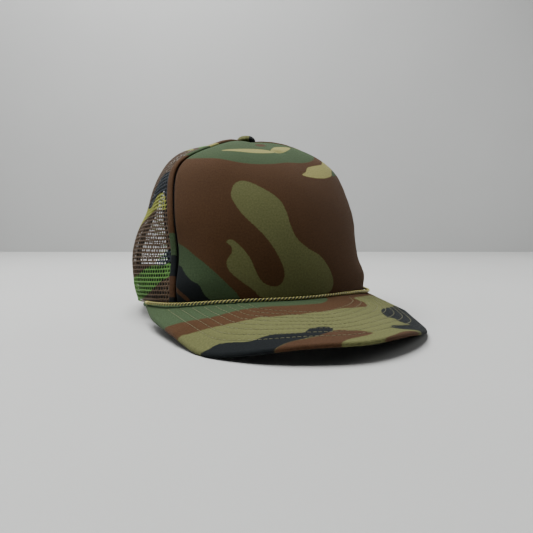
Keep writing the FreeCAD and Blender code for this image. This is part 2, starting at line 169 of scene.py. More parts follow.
def front_seam(reach):
    """Azimuth of the seam beside the foam front."""
    spread = np.where(reach > SEAM_WIDEST, 0.3, 0.25)
    return SEAM_AT_BUTTON + SEAM_SWING * hump(reach, SEAM_WIDEST, spread)


def behind_seam(height, across):
    """Azimuth and height of places this many millimetres behind the front seam."""
    reach = reach_of(55.0, height)
    azimuth = front_seam(reach) + across / per_degree(60.0, reach)
    return azimuth, height_of(azimuth, reach)


# ---------------------------------------------------------------- visor shape

VISOR_CENTRE = -40.0
VISOR_ANGLES = (0, 20, 38, 52, 65, 80, 100)
VISOR_REACH = (131.5, 126.0, 118.0, 106.0, 97.0, 92.2, 90.8)
VISOR_INNER = (93.35, 97.8)        # half axes of its inner edge, round the crown
COVER_THICK = 0.8
UNDER_THICK = 0.4
VISOR_THICK = 2.7
VISOR_SLOPE = 0.14
VISOR_BEND = 2.8                   # the visor is flat in the middle and bends down towards its sides
VISOR_ARCH = 14.6                  # drop 85 mm from the middle, at the crown
VISOR_ARCH_GAIN = 14.7             # how much more it drops 70 mm ahead of the crown
VISOR_LIFT = 1.4                   # visor's top above the rim, at the brow
EDGE_ROLL = VISOR_THICK / 2        # radius of the cover's turn round the edge
STITCH_FIRST = 10.3
STITCH_PITCH = 5.3
STITCH_ROWS = 8
STITCH_CLEAR = 5.4                 # the rows stop this far ahead of the visor's inner edge


def visor_height(x, y):
    ahead = -HALF_LENGTH - y
    start = 2 * HALF_LENGTH * math.sin(TILT) + VISOR_LIFT
    arch = VISOR_ARCH + VISOR_ARCH_GAIN * np.clip(ahead / 70, 0, 1.2)
    return start - VISOR_SLOPE * ahead - arch * np.abs(x / 85) ** VISOR_BEND


def visor_at(x, y, lift):
    """Metres in the shared frame of a place in plan, lift millimetres above the visor's top."""
    return np.stack([x * MM, y * MM + RIM_CENTRE[1], (visor_height(x, y) + lift) * MM], axis=-1)


def smooth_curve(points, steps, closed):
    """Rounded line through a few points."""
    p = np.array(points, float)
    if not closed:
        p = np.vstack([2 * p[0] - p[1], p, 2 * p[-1] - p[-2]])
    t = np.linspace(0, 1, steps, endpoint=False)[:, None]
    a, b, c, d = (np.roll(p, shift, axis=0)[:, None] for shift in (1, 0, -1, -2))
    square = 2 * a - 5 * b + 4 * c - d
    cube = 3 * b - a - 3 * c + d
    line = 0.5 * (2 * b + (c - a) * t + square * t ** 2 + cube * t ** 3)
    if closed:
        return line.reshape(-1, p.shape[1])
    return np.vstack([line[1:-2].reshape(-1, p.shape[1]), p[-2:-1]])


def visor_outline():
    half = [
        (reach * math.sin(math.radians(turn)), VISOR_CENTRE - reach * math.cos(math.radians(turn)))
        for turn, reach in zip(VISOR_ANGLES, VISOR_REACH)
    ]
    other = [(-x, y) for x, y in half[:0:-1]]
    return smooth_curve(other + half, 16, closed=False)


OUTLINE = visor_outline()


def visor_span(turn):
    """Inner and outer reach of the visor from its centre, at angles in degrees."""
    angles = np.degrees(np.arctan2(OUTLINE[:, 0], VISOR_CENTRE - OUTLINE[:, 1]))
    outer = np.interp(turn, angles, np.hypot(OUTLINE[:, 0], OUTLINE[:, 1] - VISOR_CENTRE))
    wide, long = VISOR_INNER
    dx, dy = np.sin(np.radians(turn)), -np.cos(np.radians(turn))
    a = (dx / wide) ** 2 + (dy / long) ** 2
    b = 2 * VISOR_CENTRE * dy / long ** 2
    c = (VISOR_CENTRE / long) ** 2 - 1
    inner = (-b + np.sqrt(b * b - 4 * a * c)) / (2 * a)
    return np.minimum(inner, outer - 0.4), outer


# ---------------------------------------------------------------- the camouflage print

COLOURS = ("green", "olive", "tan", "black", "rust")
PRINT_REACH = 9.0                  # distances from an outline are kept up to this, in millimetres

# Outlines on the crown: (millimetres round the rim from the brow, millimetres up from the rim).
CROWN_PRINT = {
    "green": [
        [(-150, 108), (-100, 106), (-70, 103.5), (-45, 100), (-28, 99.5), (-8, 100.5), (12, 103), (35, 104),
         (52, 106.5), (70, 113.5), (95, 121), (150, 128), (150, 170), (0, 175), (-150, 170)],
        [(-93, 47), (-88, 43), (-80, 39), (-72, 33), (-64, 27), (-56, 20), (-49, 13), (-43, 6), (-41, -5),
         (-70, -8), (-98, 10), (-99, 35)],
        [(64, 90.5), (75, 92), (90, 95), (112, 98), (112, 104), (95, 102), (80, 99), (70, 95)],
        [(72, 34), (82, 42), (98, 44), (112, 34), (114, 12), (100, 4), (84, 10), (76, 20)],
    ],
    "olive": [
        [(-45, 79.5), (-40, 83), (-33, 82.5), (-25, 79), (-15, 73), (-9, 67), (-6, 59), (-4.5, 50), (-1, 41),
         (7, 34), (16, 29), (23, 21), (26.8, 12), (24, 5), (12, 2), (-15, 2), (-28, 4), (-33, 9), (-42, 16),
         (-48, 22), (-49.3, 28), (-46, 33), (-46, 37), (-49.5, 40.5), (-45.5, 41.5), (-40, 37), (-34, 29),
         (-30, 19), (-26, 13), (-20, 10.5), (-15, 11.5), (-12, 17), (-13, 24), (-17, 33), (-22, 41),
         (-28, 48), (-37, 57), (-43, 65), (-46.5, 72)],
        [(84, 78), (96, 84), (112, 82), (122, 70), (118, 58), (104, 54), (92, 60)],
    ],
    "tan": [
        [(-63, 113.8), (-45, 118.3), (-25, 122.3), (-10, 122.6), (0, 120.8), (6, 119.2), (0, 116.6),
         (-30, 114.6)],
        [(2, 120), (8, 125), (18, 129.5), (30, 131), (44, 131), (50, 128.5), (42, 125.5), (30, 121.8),
         (18, 118.6)],
        [(20, 90), (27, 93.5), (34, 98.3), (45, 100), (58, 101), (66, 104), (76, 107.5), (92, 110),
         (112, 111), (112, 104), (95, 101), (80, 98), (70, 95), (63, 91), (55, 89), (44, 87.7), (30, 88.3)],
    ],
    "black": [
        [(-97, 30), (-90, 27.5), (-84, 26.5), (-79, 21), (-74, 16.5), (-68, 13), (-65, 7), (-60, 1),
         (-66, -6), (-98, -6)],
    ],
    "rust": [
        [(-98, 20), (-91, 15.5), (-84, 10.5), (-76, 4), (-78, 2.6), (-87, 9), (-98, 14)],
        [(-13, 131.5), (-5, 130.6), (4, 133), (6, 137), (-2, 140), (-15, 137)],
    ],
}

# Outlines on the seam margin beside the front panel, in the same coordinates.
WELT_PRINT = {
    "green": [
        [(-190, 112), (-50, 112), (-50, 126), (-190, 126)],
        [(-130, 32), (-70, 33), (-70, 48), (-130, 47)],
    ],
    "tan": [[(-190, 127), (-50, 127), (-50, 133), (-190, 133)]],
    "black": [[(-130, 19), (-70, 18), (-70, 33), (-130, 32)], [(-130, -8), (-70, -8), (-70, 6), (-130, 8)]],
    "rust": [[(-130, 8), (-70, 6), (-70, 18), (-130, 19)]],
}

# Outlines on the wearer's right side netting, in the same coordinates; tan prints yellow-green here.
NET_PRINT = {
    "green": [
        [(-86, 40), (-93, 37), (-97, 31), (-104, 28), (-116, 28), (-126, 25), (-136, 21), (-155, 19),
         (-200, 20), (-200, -8), (-160, -6), (-140, 2), (-124, 6), (-112, 11.5),
         (-104, 16.5), (-96, 19.5), (-86, 23)],
        [(-96, 128), (-120, 133), (-150, 138), (-200, 142), (-200, 175), (-96, 175)],
    ],
    "tan": [
        [(-103, 68), (-106, 75), (-111, 80), (-118, 82), (-130, 80), (-142, 80), (-158, 72), (-170, 60),
         (-160, 56), (-146, 62), (-134, 66), (-120, 69), (-110, 68)],
        [(-118, 127), (-140, 133), (-165, 136), (-190, 136), (-170, 131), (-140, 127)],
    ],
    "black": [
        [(-108, 96), (-118, 98), (-128, 97.5), (-136, 92), (-144, 84), (-150, 76), (-138, 74), (-133, 77),
         (-124, 81), (-115, 81.5), (-109, 79), (-105, 77), (-103, 86)],
        [(-90, 43), (-95, 50), (-98.5, 60), (-102, 69), (-106, 79), (-110, 92), (-100, 96), (-86, 70)],
        [(-113, 29.5), (-107, 34), (-102, 38), (-97, 39), (-93, 36), (-96, 30.5), (-104, 28)],
        [(-168, 116), (-180, 121), (-200, 118), (-200, 92), (-184, 96), (-172, 104)],
    ],
}

# Outlines on the visor's top in plan: (x, y) from the middle of the crown.
VISOR_PRINT = {
    "green": [
        [(-100, -20), (-98, -76), (-86, -85), (-78, -90), (-68, -97), (-60, -100.5), (-45, -102), (-30, -105),
         (-15, -108.5), (0, -109.5), (8, -109), (14, -105), (17, -98), (10, -80), (-40, -60)],
    ],
    "olive": [
        [(-110, -108), (-84, -104), (-78, -106), (-68, -110), (-58, -114), (-48, -117), (-38, -118.5),
         (-30, -122), (-15, -124.5), (0, -123.5), (12, -121.5), (25, -120.3), (35, -118), (39.5, -113),
         (41, -106), (38, -101), (42, -97), (51, -92), (60, -85), (70, -77), (80, -67), (88, -56), (110, -30),
         (130, -120), (60, -190), (-60, -190)],
    ],
    "black": [
        [(-84, -124), (-74, -128), (-68, -128.5), (-62, -133), (-55, -139.5), (-50, -141), (-42, -142.3),
         (-35, -146), (-27, -149.5), (-20, -146), (-12, -147), (-9, -149.5), (-12, -154), (-20, -156.3),
         (-30, -156.5), (-38, -155.5), (-48, -156.5), (-70, -160)],
        [(110, -60), (90, -82), (80, -92), (70, -102), (60, -110), (52, -115.5), (45, -121.5), (40, -129),
         (38.5, -136), (43, -138.5), (42.5, -143.5), (48, -145.5), (40, -149.5), (31, -151.5), (26, -155.3),
         (31, -157.8), (40, -157), (52, -154.5), (64, -152), (120, -120)],
    ],
    "rust": [
        [(-62, -158), (-48, -156.5), (-38, -155.5), (-28, -157), (-19, -156), (-11, -153.5), (-5, -154),
         (3, -157.5), (8.5, -161), (7, -163.5), (-2, -165.5), (-9, -166.5), (-15, -169), (-30, -178)],
        [(10, -172), (20, -166.5), (32, -161), (44, -157.8), (56, -154), (60, -165), (30, -180)],
    ],
}


def signed_distance(places, loop):
    """How far each place lies inside a closed line, below zero outside it."""
    nearest = np.full(len(places), 1e9)
    inside = np.zeros(len(places), bool)
    x, y = places[:, 0], places[:, 1]
    for a, b in zip(loop, np.roll(loop, -1, axis=0)):
        edge = b - a
        t = np.clip(((places - a) @ edge) / max(edge @ edge, 1e-9), 0, 1)
        gap = places - a - t[:, None] * edge
        nearest = np.minimum(nearest, (gap ** 2).sum(1))
        if a[1] != b[1]:
            crosses = (a[1] > y) != (b[1] > y)
            inside ^= crosses & (x < a[0] + edge[0] * (y - a[1]) / edge[1])
    return np.where(inside, 1, -1) * np.sqrt(nearest)


def drawn_print(places, outlines):
    """Distance inside the outlines of each colour, at cloth places in millimetres."""
    fields = {}
    for colour in COLOURS:
        best = np.full(len(places), -PRINT_REACH)
        for points in outlines.get(colour, ()):
            best = np.maximum(best, signed_distance(places, smooth_curve(points, 5, closed=True)))
        fields["camo_" + colour] = np.clip(best, -PRINT_REACH, PRINT_REACH)
    return fields


# Colour, rarity and rough size in millimetres.
LOOSE_BLOBS = (
    ("green", 0.3, 125.0), ("olive", 1.1, 110.0), ("tan", 1.6, 95.0), ("black", 1.0, 90.0),
    ("rust", 3.0, 40.0),
)


def loose_print(places, seed):
    """Blobs in the style of the same print, for cloth that needs no set pattern."""
    random = np.random.default_rng(seed)
    fields = {}
    for colour, level, size in LOOSE_BLOBS:
        total = np.zeros(len(places))
        for _ in range(12):
            length = size * random.uniform(0.7, 1.5)
            turn = random.uniform(0, math.pi)
            along = places[:, 0] * math.cos(turn) + 1.5 * places[:, 1] * math.sin(turn)
            total += np.cos(math.tau * along / length + random.uniform(0, math.tau))
        inside = (total / math.sqrt(6) - level) * size / 9
        fields["camo_" + colour] = np.clip(inside, -PRINT_REACH, PRINT_REACH)
    return fields


# ---------------------------------------------------------------- mesh making


def link(name, data):
    """New object in the scene."""
    made = bpy.data.objects.new(name, data)
    bpy.context.scene.collection.objects.link(made)
    return made


def circle(count):
    """Angles evenly round a full turn."""
    return np.linspace(0, math.tau, count, endpoint=False)


def run_along(line):
    """Distance of each point of a line from its start."""
    return np.concatenate([[0], np.cumsum(np.linalg.norm(np.diff(line, axis=0), axis=1))])


def along(line, run, at):
    """Places on a line at these distances from its start."""
    return np.stack([np.interp(at, run, line[:, k]) for k in range(line.shape[1])], axis=-1)


def quads(index):
    corners = (index[:-1, :-1], index[:-1, 1:], index[1:, 1:], index[1:, :-1])
    return np.stack(corners, axis=-1).reshape(-1, 4)


def make_piece(name, places, faces, fields=None):
    """Mesh object with its faces turned outwards and its named values at each point."""
    mesh = bpy.data.meshes.new(name)
    mesh.from_pydata([tuple(p) for p in places], [], [tuple(int(i) for i in f) for f in faces])
    shape = bmesh.new()
    shape.from_mesh(mesh)
    bmesh.ops.recalc_face_normals(shape, faces=shape.faces)
    shape.to_mesh(mesh)
    shape.free()
    for key, values in (fields or {}).items():
        values = np.asarray(values, np.float32)
        kind = "FLOAT" if values.ndim == 1 else "FLOAT_VECTOR"
        attribute = mesh.attributes.new(key, kind, "POINT")
        attribute.data.foreach_set("value" if values.ndim == 1 else "vector", values.ravel())
    mesh.polygons.foreach_set("use_smooth", [True] * len(mesh.polygons))
    mesh.update()
    return link(name, mesh)


def cloth_fields(across, up, printed=None):
    """Print distances and the cloth's own millimetres, for a grid of cloth places."""
    places = np.stack(np.broadcast_arrays(across, up), axis=-1).reshape(-1, 2)
    fields = printed(places) if printed else {}
    fields["cloth_at"] = np.hstack([places, np.zeros((len(places), 1))])
    return fields


def shell(name, outer, inner, fields=None):
    """Closed piece between two grids of points; the fields are those of the outer grid."""
    rows, columns = outer.shape[:2]
    count = rows * columns
    front = np.arange(count).reshape(rows, columns)
    edge = np.concatenate([front[0], front[1:, -1], front[-1, -2::-1], front[-2:0:-1, 0]])
    after = np.roll(edge, -1)
    walls = np.stack([edge, after, after + count, edge + count], axis=-1)
    faces = np.vstack([quads(front), quads(front)[:, ::-1] + count, walls[:, ::-1]])
    places = np.vstack([outer.reshape(-1, 3), inner.reshape(-1, 3)])
    doubled = {key: np.concatenate([values, values]) for key, values in (fields or {}).items()}
    return make_piece(name, places, faces, doubled)


def ring_round(angles, side, up):
    """Directions round a line at these angles, from its side towards its up."""
    cos, sin = (turn(angles)[None, :, None] for turn in (np.cos, np.sin))
    return cos * side[..., None, :] + sin * up[..., None, :]


def sweep_faces(rings, around, first=0):
    """Faces of a tube of rings, with its two ends closed."""
    index = first + np.arange(rings * around).reshape(rings, around)
    wrapped = np.hstack([index, index[:, :1]])
    return [tuple(f) for f in quads(wrapped)] + [tuple(index[0][::-1]), tuple(index[-1])]


def sweep(name, rings, fields=None):
    """Closed tube through rings of points."""
    return make_piece(name, rings.reshape(-1, 3), sweep_faces(*rings.shape[:2]), fields)


def flat_oval(count, width, depth, power=3.0):
    """Points round a flattened oval: (across, depth) from its middle."""
    cos, sin = np.cos(circle(count)), np.sin(circle(count))
    across = width / 2 * np.sign(cos) * np.abs(cos) ** (2 / power)
    inwards = depth / 2 * np.sign(sin) * np.abs(sin) ** (2 / power)
    return across, inwards


def resample(line, step):
    """Evenly spaced points along a line of points."""
    run = run_along(line)
    return along(line, run, np.linspace(0, run[-1], max(2, int(round(run[-1] / step)) + 1)))


def unit(vectors):
    return vectors / np.maximum(np.linalg.norm(vectors, axis=-1, keepdims=True), 1e-12)


STITCH_STATIONS = (-1.0, -0.72, 0.0, 0.72, 1.0)
STITCH_SWELL = (0.3, 0.85, 1.0, 0.85, 0.3)
STITCH_LIFT = (-0.5, 0.45, 0.7, 0.45, -0.5)


def stitch_run(line, ups, radius, length, gap):
    """Thread stitches along a line in metres: points, and their faces."""
    places, faces = [], []
    run = run_along(line)
    centres = np.arange(length / 2, run[-1] - length / 2, length + gap)
    angles = circle(6)
    for centre in centres:
        at = centre + np.array(STITCH_STATIONS) * length / 2
        middle = along(line, run, at)
        up = unit(along(ups, run, at))
        ahead = unit(middle[-1:] - middle[:1])
        side = unit(np.cross(ahead, up))
        ring = radius * np.array(STITCH_SWELL)[:, None, None] * ring_round(angles, side, up)
        body = middle[:, None] + up[:, None] * radius * np.array(STITCH_LIFT)[:, None, None] + ring
        faces += sweep_faces(5, 6, len(places) * 30)
        places.append(body.reshape(-1, 3))
    return places, faces


def stitching(name, runs, radius, length, gap):
    """One piece of thread made of several rows of stitches; each row is (line, ups)."""
    places, faces = [], []
    for line, ups in runs:
        more, around = stitch_run(line, ups, radius, length, gap)
        faces += [tuple(i + len(places) * 30 for i in face) for face in around]
        places += more
    return make_piece(name, np.vstack(places), faces)


def lines_between(place, depth, below, inwards=False):
    """A line of stitching at one depth, and which way is up for its thread."""
    line = place(depth)
    up = line - place(below)
    return line, -up if inwards else up


CLOTH_SETTINGS = {
    "vertex_group_mass": "sewn", "quality": 6, "mass": 0.02, "tension_stiffness": 40,
    "compression_stiffness": 40, "bending_stiffness": 4, "use_pressure": True,
}
CLOTH_STEPS = 20                   # frames that the cloth is given to rise


def cloth_rise(points, pressure, limit):
    """Sew a sheet down along its border and blow it up: how far each of its points moves, in metres.
    """
    rows, columns = points.shape[:2]
    mesh = bpy.data.meshes.new("rising")
    index = np.arange(rows * columns).reshape(rows, columns)
    mesh.from_pydata(points.reshape(-1, 3).tolist(), [], quads(index).tolist())
    sheet = link("rising", mesh)
    border = np.concatenate([index[0], index[-1], index[:, 0], index[:, -1]])
    sheet.vertex_groups.new(name="sewn").add(border.tolist(), 1.0, "REPLACE")
    cloth = sheet.modifiers.new("cloth", "CLOTH")
    for key, value in CLOTH_SETTINGS.items():
        setattr(cloth.settings, key, value)
    cloth.settings.uniform_pressure_force = pressure
    cloth.settings.effector_weights.gravity = 0
    cloth.collision_settings.use_collision = False
    for step in range(1, CLOTH_STEPS + 1):
        bpy.context.scene.frame_set(step)
    evaluated = sheet.evaluated_get(bpy.context.evaluated_depsgraph_get())
    moved = np.array([v.co for v in evaluated.data.vertices], float).reshape(points.shape)
    bpy.data.objects.remove(sheet)
    bpy.context.scene.frame_set(1)
    rise = moved - points
    size = np.linalg.norm(rise, axis=-1, keepdims=True)
    print("cloth rose", round(float(size.max()) * 1000, 2), "mm at most, kept to", limit * 1000)
    return rise * np.minimum(1, limit / np.maximum(size, 1e-9))


def refine(coarse, rows, columns):
    """The same grid of vectors at more points."""
    u = np.linspace(0, coarse.shape[0] - 1, rows)[:, None] * np.ones((1, columns))
    v = np.linspace(0, coarse.shape[1] - 1, columns)[None] * np.ones((rows, 1))
    return np.stack([lookup(coarse[..., k], u, v) for k in range(3)], axis=-1)


# ---------------------------------------------------------------- materials


def tone(red, green, blue):
    """Shader colour of a screen colour."""
    values = [c / 255 for c in (red, green, blue)]
    return [c / 12.92 if c <= 0.04045 else ((c + 0.055) / 1.055) ** 2.4 for c in values] + [1.0]


class Shader:
    """A node material built round one Principled surface."""

    def __init__(self, name, roughness=0.9):
        self.material = bpy.data.materials.new(name)
        self.material.use_nodes = True
        self.tree = self.material.node_tree
        self.surface = self.tree.nodes["Principled BSDF"]
        self.surface.inputs["Roughness"].default_value = roughness

    def node(self, kind, inputs=None, **settings):
        made = self.tree.nodes.new("ShaderNode" + kind)
        for key, value in settings.items():
            setattr(made, key, value)
        for key, value in (inputs or {}).items():
            self.join(value, made.inputs[key])
        return made

    def join(self, value, socket):
        if isinstance(value, bpy.types.NodeSocket):
            self.tree.links.new(value, socket)
        else:
            socket.default_value = value

    def mix(self, share, first, second):
        made = self.node("Mix", data_type="RGBA")
        for value, socket in ((share, 0), (first, 6), (second, 7)):
            self.join(value, made.inputs[socket])
        return made.outputs[2]

    def math(self, operation, *values):
        made = self.node("Math", operation=operation)
        for number, value in enumerate(values):
            self.join(value, made.inputs[number])
        return made.outputs[0]

    def value(self, name):
        return self.node("Attribute", attribute_name=name).outputs["Fac"]

    def cloth_place(self):
        return self.node("Attribute", attribute_name="cloth_at").outputs["Vector"]

    def object_place(self):
        """Place on the object in millimetres."""
        at = self.node("TexCoord").outputs["Object"]
        return self.node("VectorMath", {0: at, 1: (1000.0, 1000.0, 1000.0)}, operation="MULTIPLY").outputs[0]

    def noise(self, place, size, detail=2.0):
        return self.node("TexNoise", {"Vector": place, "Scale": 1 / size, "Detail": detail}).outputs["Fac"]

    def threads(self, place, pitch, direction):
        inputs = {"Vector": place, "Scale": math.tau / 20 / pitch, "Distortion": 0.4, "Detail": 0.0}
        return self.node("TexWave", inputs, bands_direction=direction).outputs["Fac"]

    def vary(self, colour, place, size, amount):
        """Colour made unevenly lighter and darker."""
        share = self.noise(place, size, 3.0)
        scale = self.node("MapRange", {"Value": share, 3: 1 - amount, 4: 1 + amount}).outputs[0]
        return self.lighten(colour, scale)

    def lighten(self, colour, value):
        made = self.node("HueSaturation", {"Value": value})
        self.join(colour, made.inputs["Color"])
        return made.outputs[0]

    def bump(self, height, distance, strength=1.0, below=None):
        inputs = {"Height": height, "Distance": distance, "Strength": strength}
        if below is not None:
            inputs["Normal"] = below
        return self.node("Bump", inputs).outputs[0]

    def finish(self, colour, normal, **values):
        """Join the surface's colour and bump, and set its other values by name."""
        for key, value in {"Base_Color": colour, "Normal": normal, **values}.items():
            self.join(value, self.surface.inputs[key.replace("_", " ")])
        return self.material


def printed_colour(shader, palette, place, softness):
    """Print whose colours lie over each other in order, with slightly ragged edges."""
    colour = palette["brown"]
    ragged = shader.math("MULTIPLY_ADD", shader.noise(place, 1.3), 1.0, -0.5)
    for name in COLOURS:
        edge = shader.math("ADD", shader.value("camo_" + name), ragged)
        inputs = {"Value": edge, 1: -softness, 2: softness}
        share = shader.node("MapRange", inputs, interpolation_type="SMOOTHSTEP").outputs[0]
        colour = shader.mix(share, colour, palette[name])
    return colour


FABRIC_PALETTE = {
    "brown": tone(74, 51, 31), "green": tone(62, 78, 53), "olive": tone(98, 100, 63),
    "tan": tone(146, 142, 88), "black": tone(22, 26, 28), "rust": tone(72, 50, 33),
}
NET_PALETTE = {
    "brown": tone(86, 68, 50), "green": tone(88, 134, 60), "olive": tone(104, 102, 60),
    "tan": tone(150, 154, 66), "black": tone(26, 36, 46), "rust": tone(98, 66, 46),
}


def fabric_material():
    """Woven print: fine cross threads, a dry look and a little lint."""
    shader = Shader("printed_fabric", 0.92)
    place = shader.cloth_place()
    colour = printed_colour(shader, FABRIC_PALETTE, place, 0.35)
    colour = shader.vary(colour, place, 38.0, 0.08)
    colour = shader.vary(colour, place, 1.2, 0.42)
    warp = shader.threads(place, 0.62, "X")
    weft = shader.threads(place, 0.55, "Y")
    weave = shader.math("ADD", warp, weft)
    dark = shader.node("MapRange", {"Value": weave, 2: 2.0, 3: 0.86, 4: 1.12}).outputs[0]
    low = shader.bump(shader.noise(place, 14.0), 0.0006, 0.5)
    return shader.finish(shader.lighten(colour, dark), shader.bump(weave, 0.00012, 0.7, low),
                         Sheen_Weight=0.04, Sheen_Roughness=0.5, Specular_IOR_Level=0.1)


def net_material():
    """Knitted polyester strands: a print with a soft gloss and loops along each strand."""
    shader = Shader("printed_net", 0.62)
    place = shader.cloth_place()
    colour = printed_colour(shader, NET_PALETTE, place, 0.5)
    colour = shader.vary(colour, place, 2.2, 0.28)
    colour = shader.vary(colour, place, 0.5, 0.20)
    loops = shader.threads(place, 0.45, "DIAGONAL")
    return shader.finish(colour, shader.bump(loops, 0.00015, 0.8), Sheen_Weight=0.04, Specular_IOR_Level=0.2)


def dark_cloth_material(name, colour, pitch, grain):
    """Plain woven cloth or tape."""
    shader = Shader(name, 0.9)
    place = shader.cloth_place()
    mixed = shader.vary(colour, place, 6.0, 0.22)
    mixed = shader.vary(mixed, place, 0.7, 0.25)
    warp = shader.threads(place, pitch, "X")
    weft = shader.threads(place, pitch * grain, "Y")
    weave = shader.math("ADD", warp, weft)
    return shader.finish(mixed, shader.bump(weave, 0.00018, 0.8), Sheen_Weight=0.05, Specular_IOR_Level=0.15)


def foam_material():
    """Fine open foam with a matt skin."""
    shader = Shader("foam", 0.97)
    place = shader.object_place()
    pores = shader.node("TexVoronoi", {"Vector": place, "Scale": 1.4}).outputs["Distance"]
    colour = shader.mix(pores, tone(36, 36, 36), tone(62, 61, 60))
    return shader.finish(shader.vary(colour, place, 22.0, 0.12), shader.bump(pores, 0.0004, 0.7))


def rope_material():
    """Shiny gold yarn: fine fibres along each strand, and painted shade down between strands."""
    shader = Shader("gold_rope", 0.5)
    place = shader.cloth_place()
    fibres = shader.threads(place, 0.22, "Y")
    colour = shader.mix(fibres, tone(196, 186, 78), tone(246, 238, 140))
    colour = shader.vary(colour, place, 1.1, 0.18)
    # painted shade: near black where the strands turn in towards each other, and in the dips between the
    # ridges of the rope's ends
    colour = shader.mix(shader.value("crevice_shade"), colour, tone(22, 19, 6))
    return shader.finish(colour, shader.bump(fibres, 0.00008, 0.8), Sheen_Weight=0.3)


def thread_material(name, colour):
    shader = Shader(name, 0.6)
    place = shader.object_place()
    twist = shader.threads(place, 0.35, "DIAGONAL")
    return shader.finish(shader.vary(colour, place, 3.0, 0.15), shader.bump(twist, 0.00006, 0.8))


def plastic_material(name, colour, grain, roughness):
    """Moulded plastic with a fine texture and handling marks."""
    shader = Shader(name, roughness)
    place = shader.object_place()
    mixed = shader.vary(colour, place, 9.0, 0.12)
    marks = shader.noise(place, 3.0, 4.0)
    rough = shader.node("MapRange", {"Value": marks, 3: roughness - 0.1, 4: roughness + 0.16}).outputs[0]
    return shader.finish(mixed, shader.bump(shader.noise(place, grain), 0.00012, 0.5), Roughness=rough)


def metal_material():
    """Pressed steel with fine turning marks."""
    shader = Shader("rivet_metal", 0.35)
    place = shader.object_place()
    brushed = shader.noise(place, 0.5, 5.0)
    colour = shader.mix(brushed, tone(150, 150, 148), tone(196, 195, 190))
    rough = shader.node("MapRange", {"Value": brushed, 3: 0.28, 4: 0.5}).outputs[0]
    return shader.finish(colour, shader.bump(brushed, 0.00006, 0.6), Roughness=rough, Metallic=1.0)


FABRIC = fabric_material()
NET = net_material()
TAPE = dark_cloth_material("black_tape", tone(24, 25, 26), 0.5, 2.2)
COTTON = dark_cloth_material("black_cotton", tone(22, 22, 23), 0.6, 1.0)
FOAM = foam_material()
ROPE = rope_material()
VISOR_THREAD = thread_material("visor_thread", tone(126, 125, 92))
DARK_THREAD = thread_material("dark_thread", tone(70, 70, 66))
SNAP_PLASTIC = plastic_material("snap_plastic", tone(34, 34, 36), 0.4, 0.42)
BOARD = plastic_material("board_plastic", tone(196, 196, 190), 0.8, 0.6)
RIVET = metal_material()


def finish_piece(piece, material, slot, *nodes):
    """Give a new piece its material; it rides on the cap and stands for these nodes. The slot is not used."""
    piece.data.materials.clear()
    piece.data.materials.append(material)
    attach(piece, HOME)
    if nodes:
        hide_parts(*nodes)
    return piece


# ---------------------------------------------------------------- camera

CAMERA_PLACE = (-0.1439, -0.3323, 0.0742)
CAMERA_YAW = 23.57                 # degrees to the right of straight along +Y
CAMERA_DIP = 5.81
CAMERA_LENS = 32.07                # millimetres, on a 36 mm sensor


def camera():
    eye = link("camera", bpy.data.cameras.new("camera"))
    yaw, dip = math.radians(CAMERA_YAW), math.radians(CAMERA_DIP)
    ahead = Vector((math.sin(yaw) * math.cos(dip), math.cos(yaw) * math.cos(dip), -math.sin(dip)))
    eye.location = CAMERA_PLACE
    eye.rotation_mode = "QUATERNION"
    eye.rotation_quaternion = ahead.to_track_quat("-Z", "Y")
    eye.data.sensor_width = 36.0
    eye.data.lens = CAMERA_LENS
    eye.data.clip_start = 0.01
    eye.data.clip_end = 50.0
    bpy.context.scene.camera = eye


# ---------------------------------------------------------------- rope

# Centre of the rope from the wearer's right, over the brow, to the left: millimetres from the crown's middle.
ROPE_ROUTE = [
    (-89.2, -38.0, 15.9), (-85.3, -49.8, 16.5), (-76.2, -64.4, 18.0), (-64.2, -76.3, 19.9),
    (-49.4, -86.5, 21.8), (-32.9, -94.1, 22.7), (-16.4, -98.6, 22.9), (0.0, -100.1, 22.9),
    (16.4, -98.6, 22.9), (32.9, -94.1, 22.7), (49.4, -86.5, 21.8), (64.2, -76.3, 19.9),
    (76.2, -64.4, 18.0), (85.3, -49.8, 16.5), (89.2, -38.0, 15.9),
]
ROPE_RADIUS = 1.1
STRANDS = 2
STRAND_RADIUS = 0.57
STRAND_TURN = 4.9                  # length of rope for one full turn of its strands
TACK_LENGTH = 4.0


def rope_line():
    """Smooth centre line of the rope in metres."""
    data = bpy.data.curves.new("rope_line", "CURVE")
    data.dimensions = "3D"
    spline = data.splines.new("NURBS")
    spline.points.add(len(ROPE_ROUTE) - 1)
    for point, (x, y, z) in zip(spline.points, ROPE_ROUTE):
        point.co = (x * MM, y * MM + RIM_CENTRE[1], z * MM, 1.0)
    spline.order_u = 3
    spline.use_endpoint_u = True
    spline.resolution_u = 16
    guide = link("rope_line", data)
    line = bpy.data.meshes.new_from_object(guide)
    places = np.array([v.co for v in line.vertices], float)
    bpy.data.objects.remove(guide)
    bpy.data.meshes.remove(line)
    return places


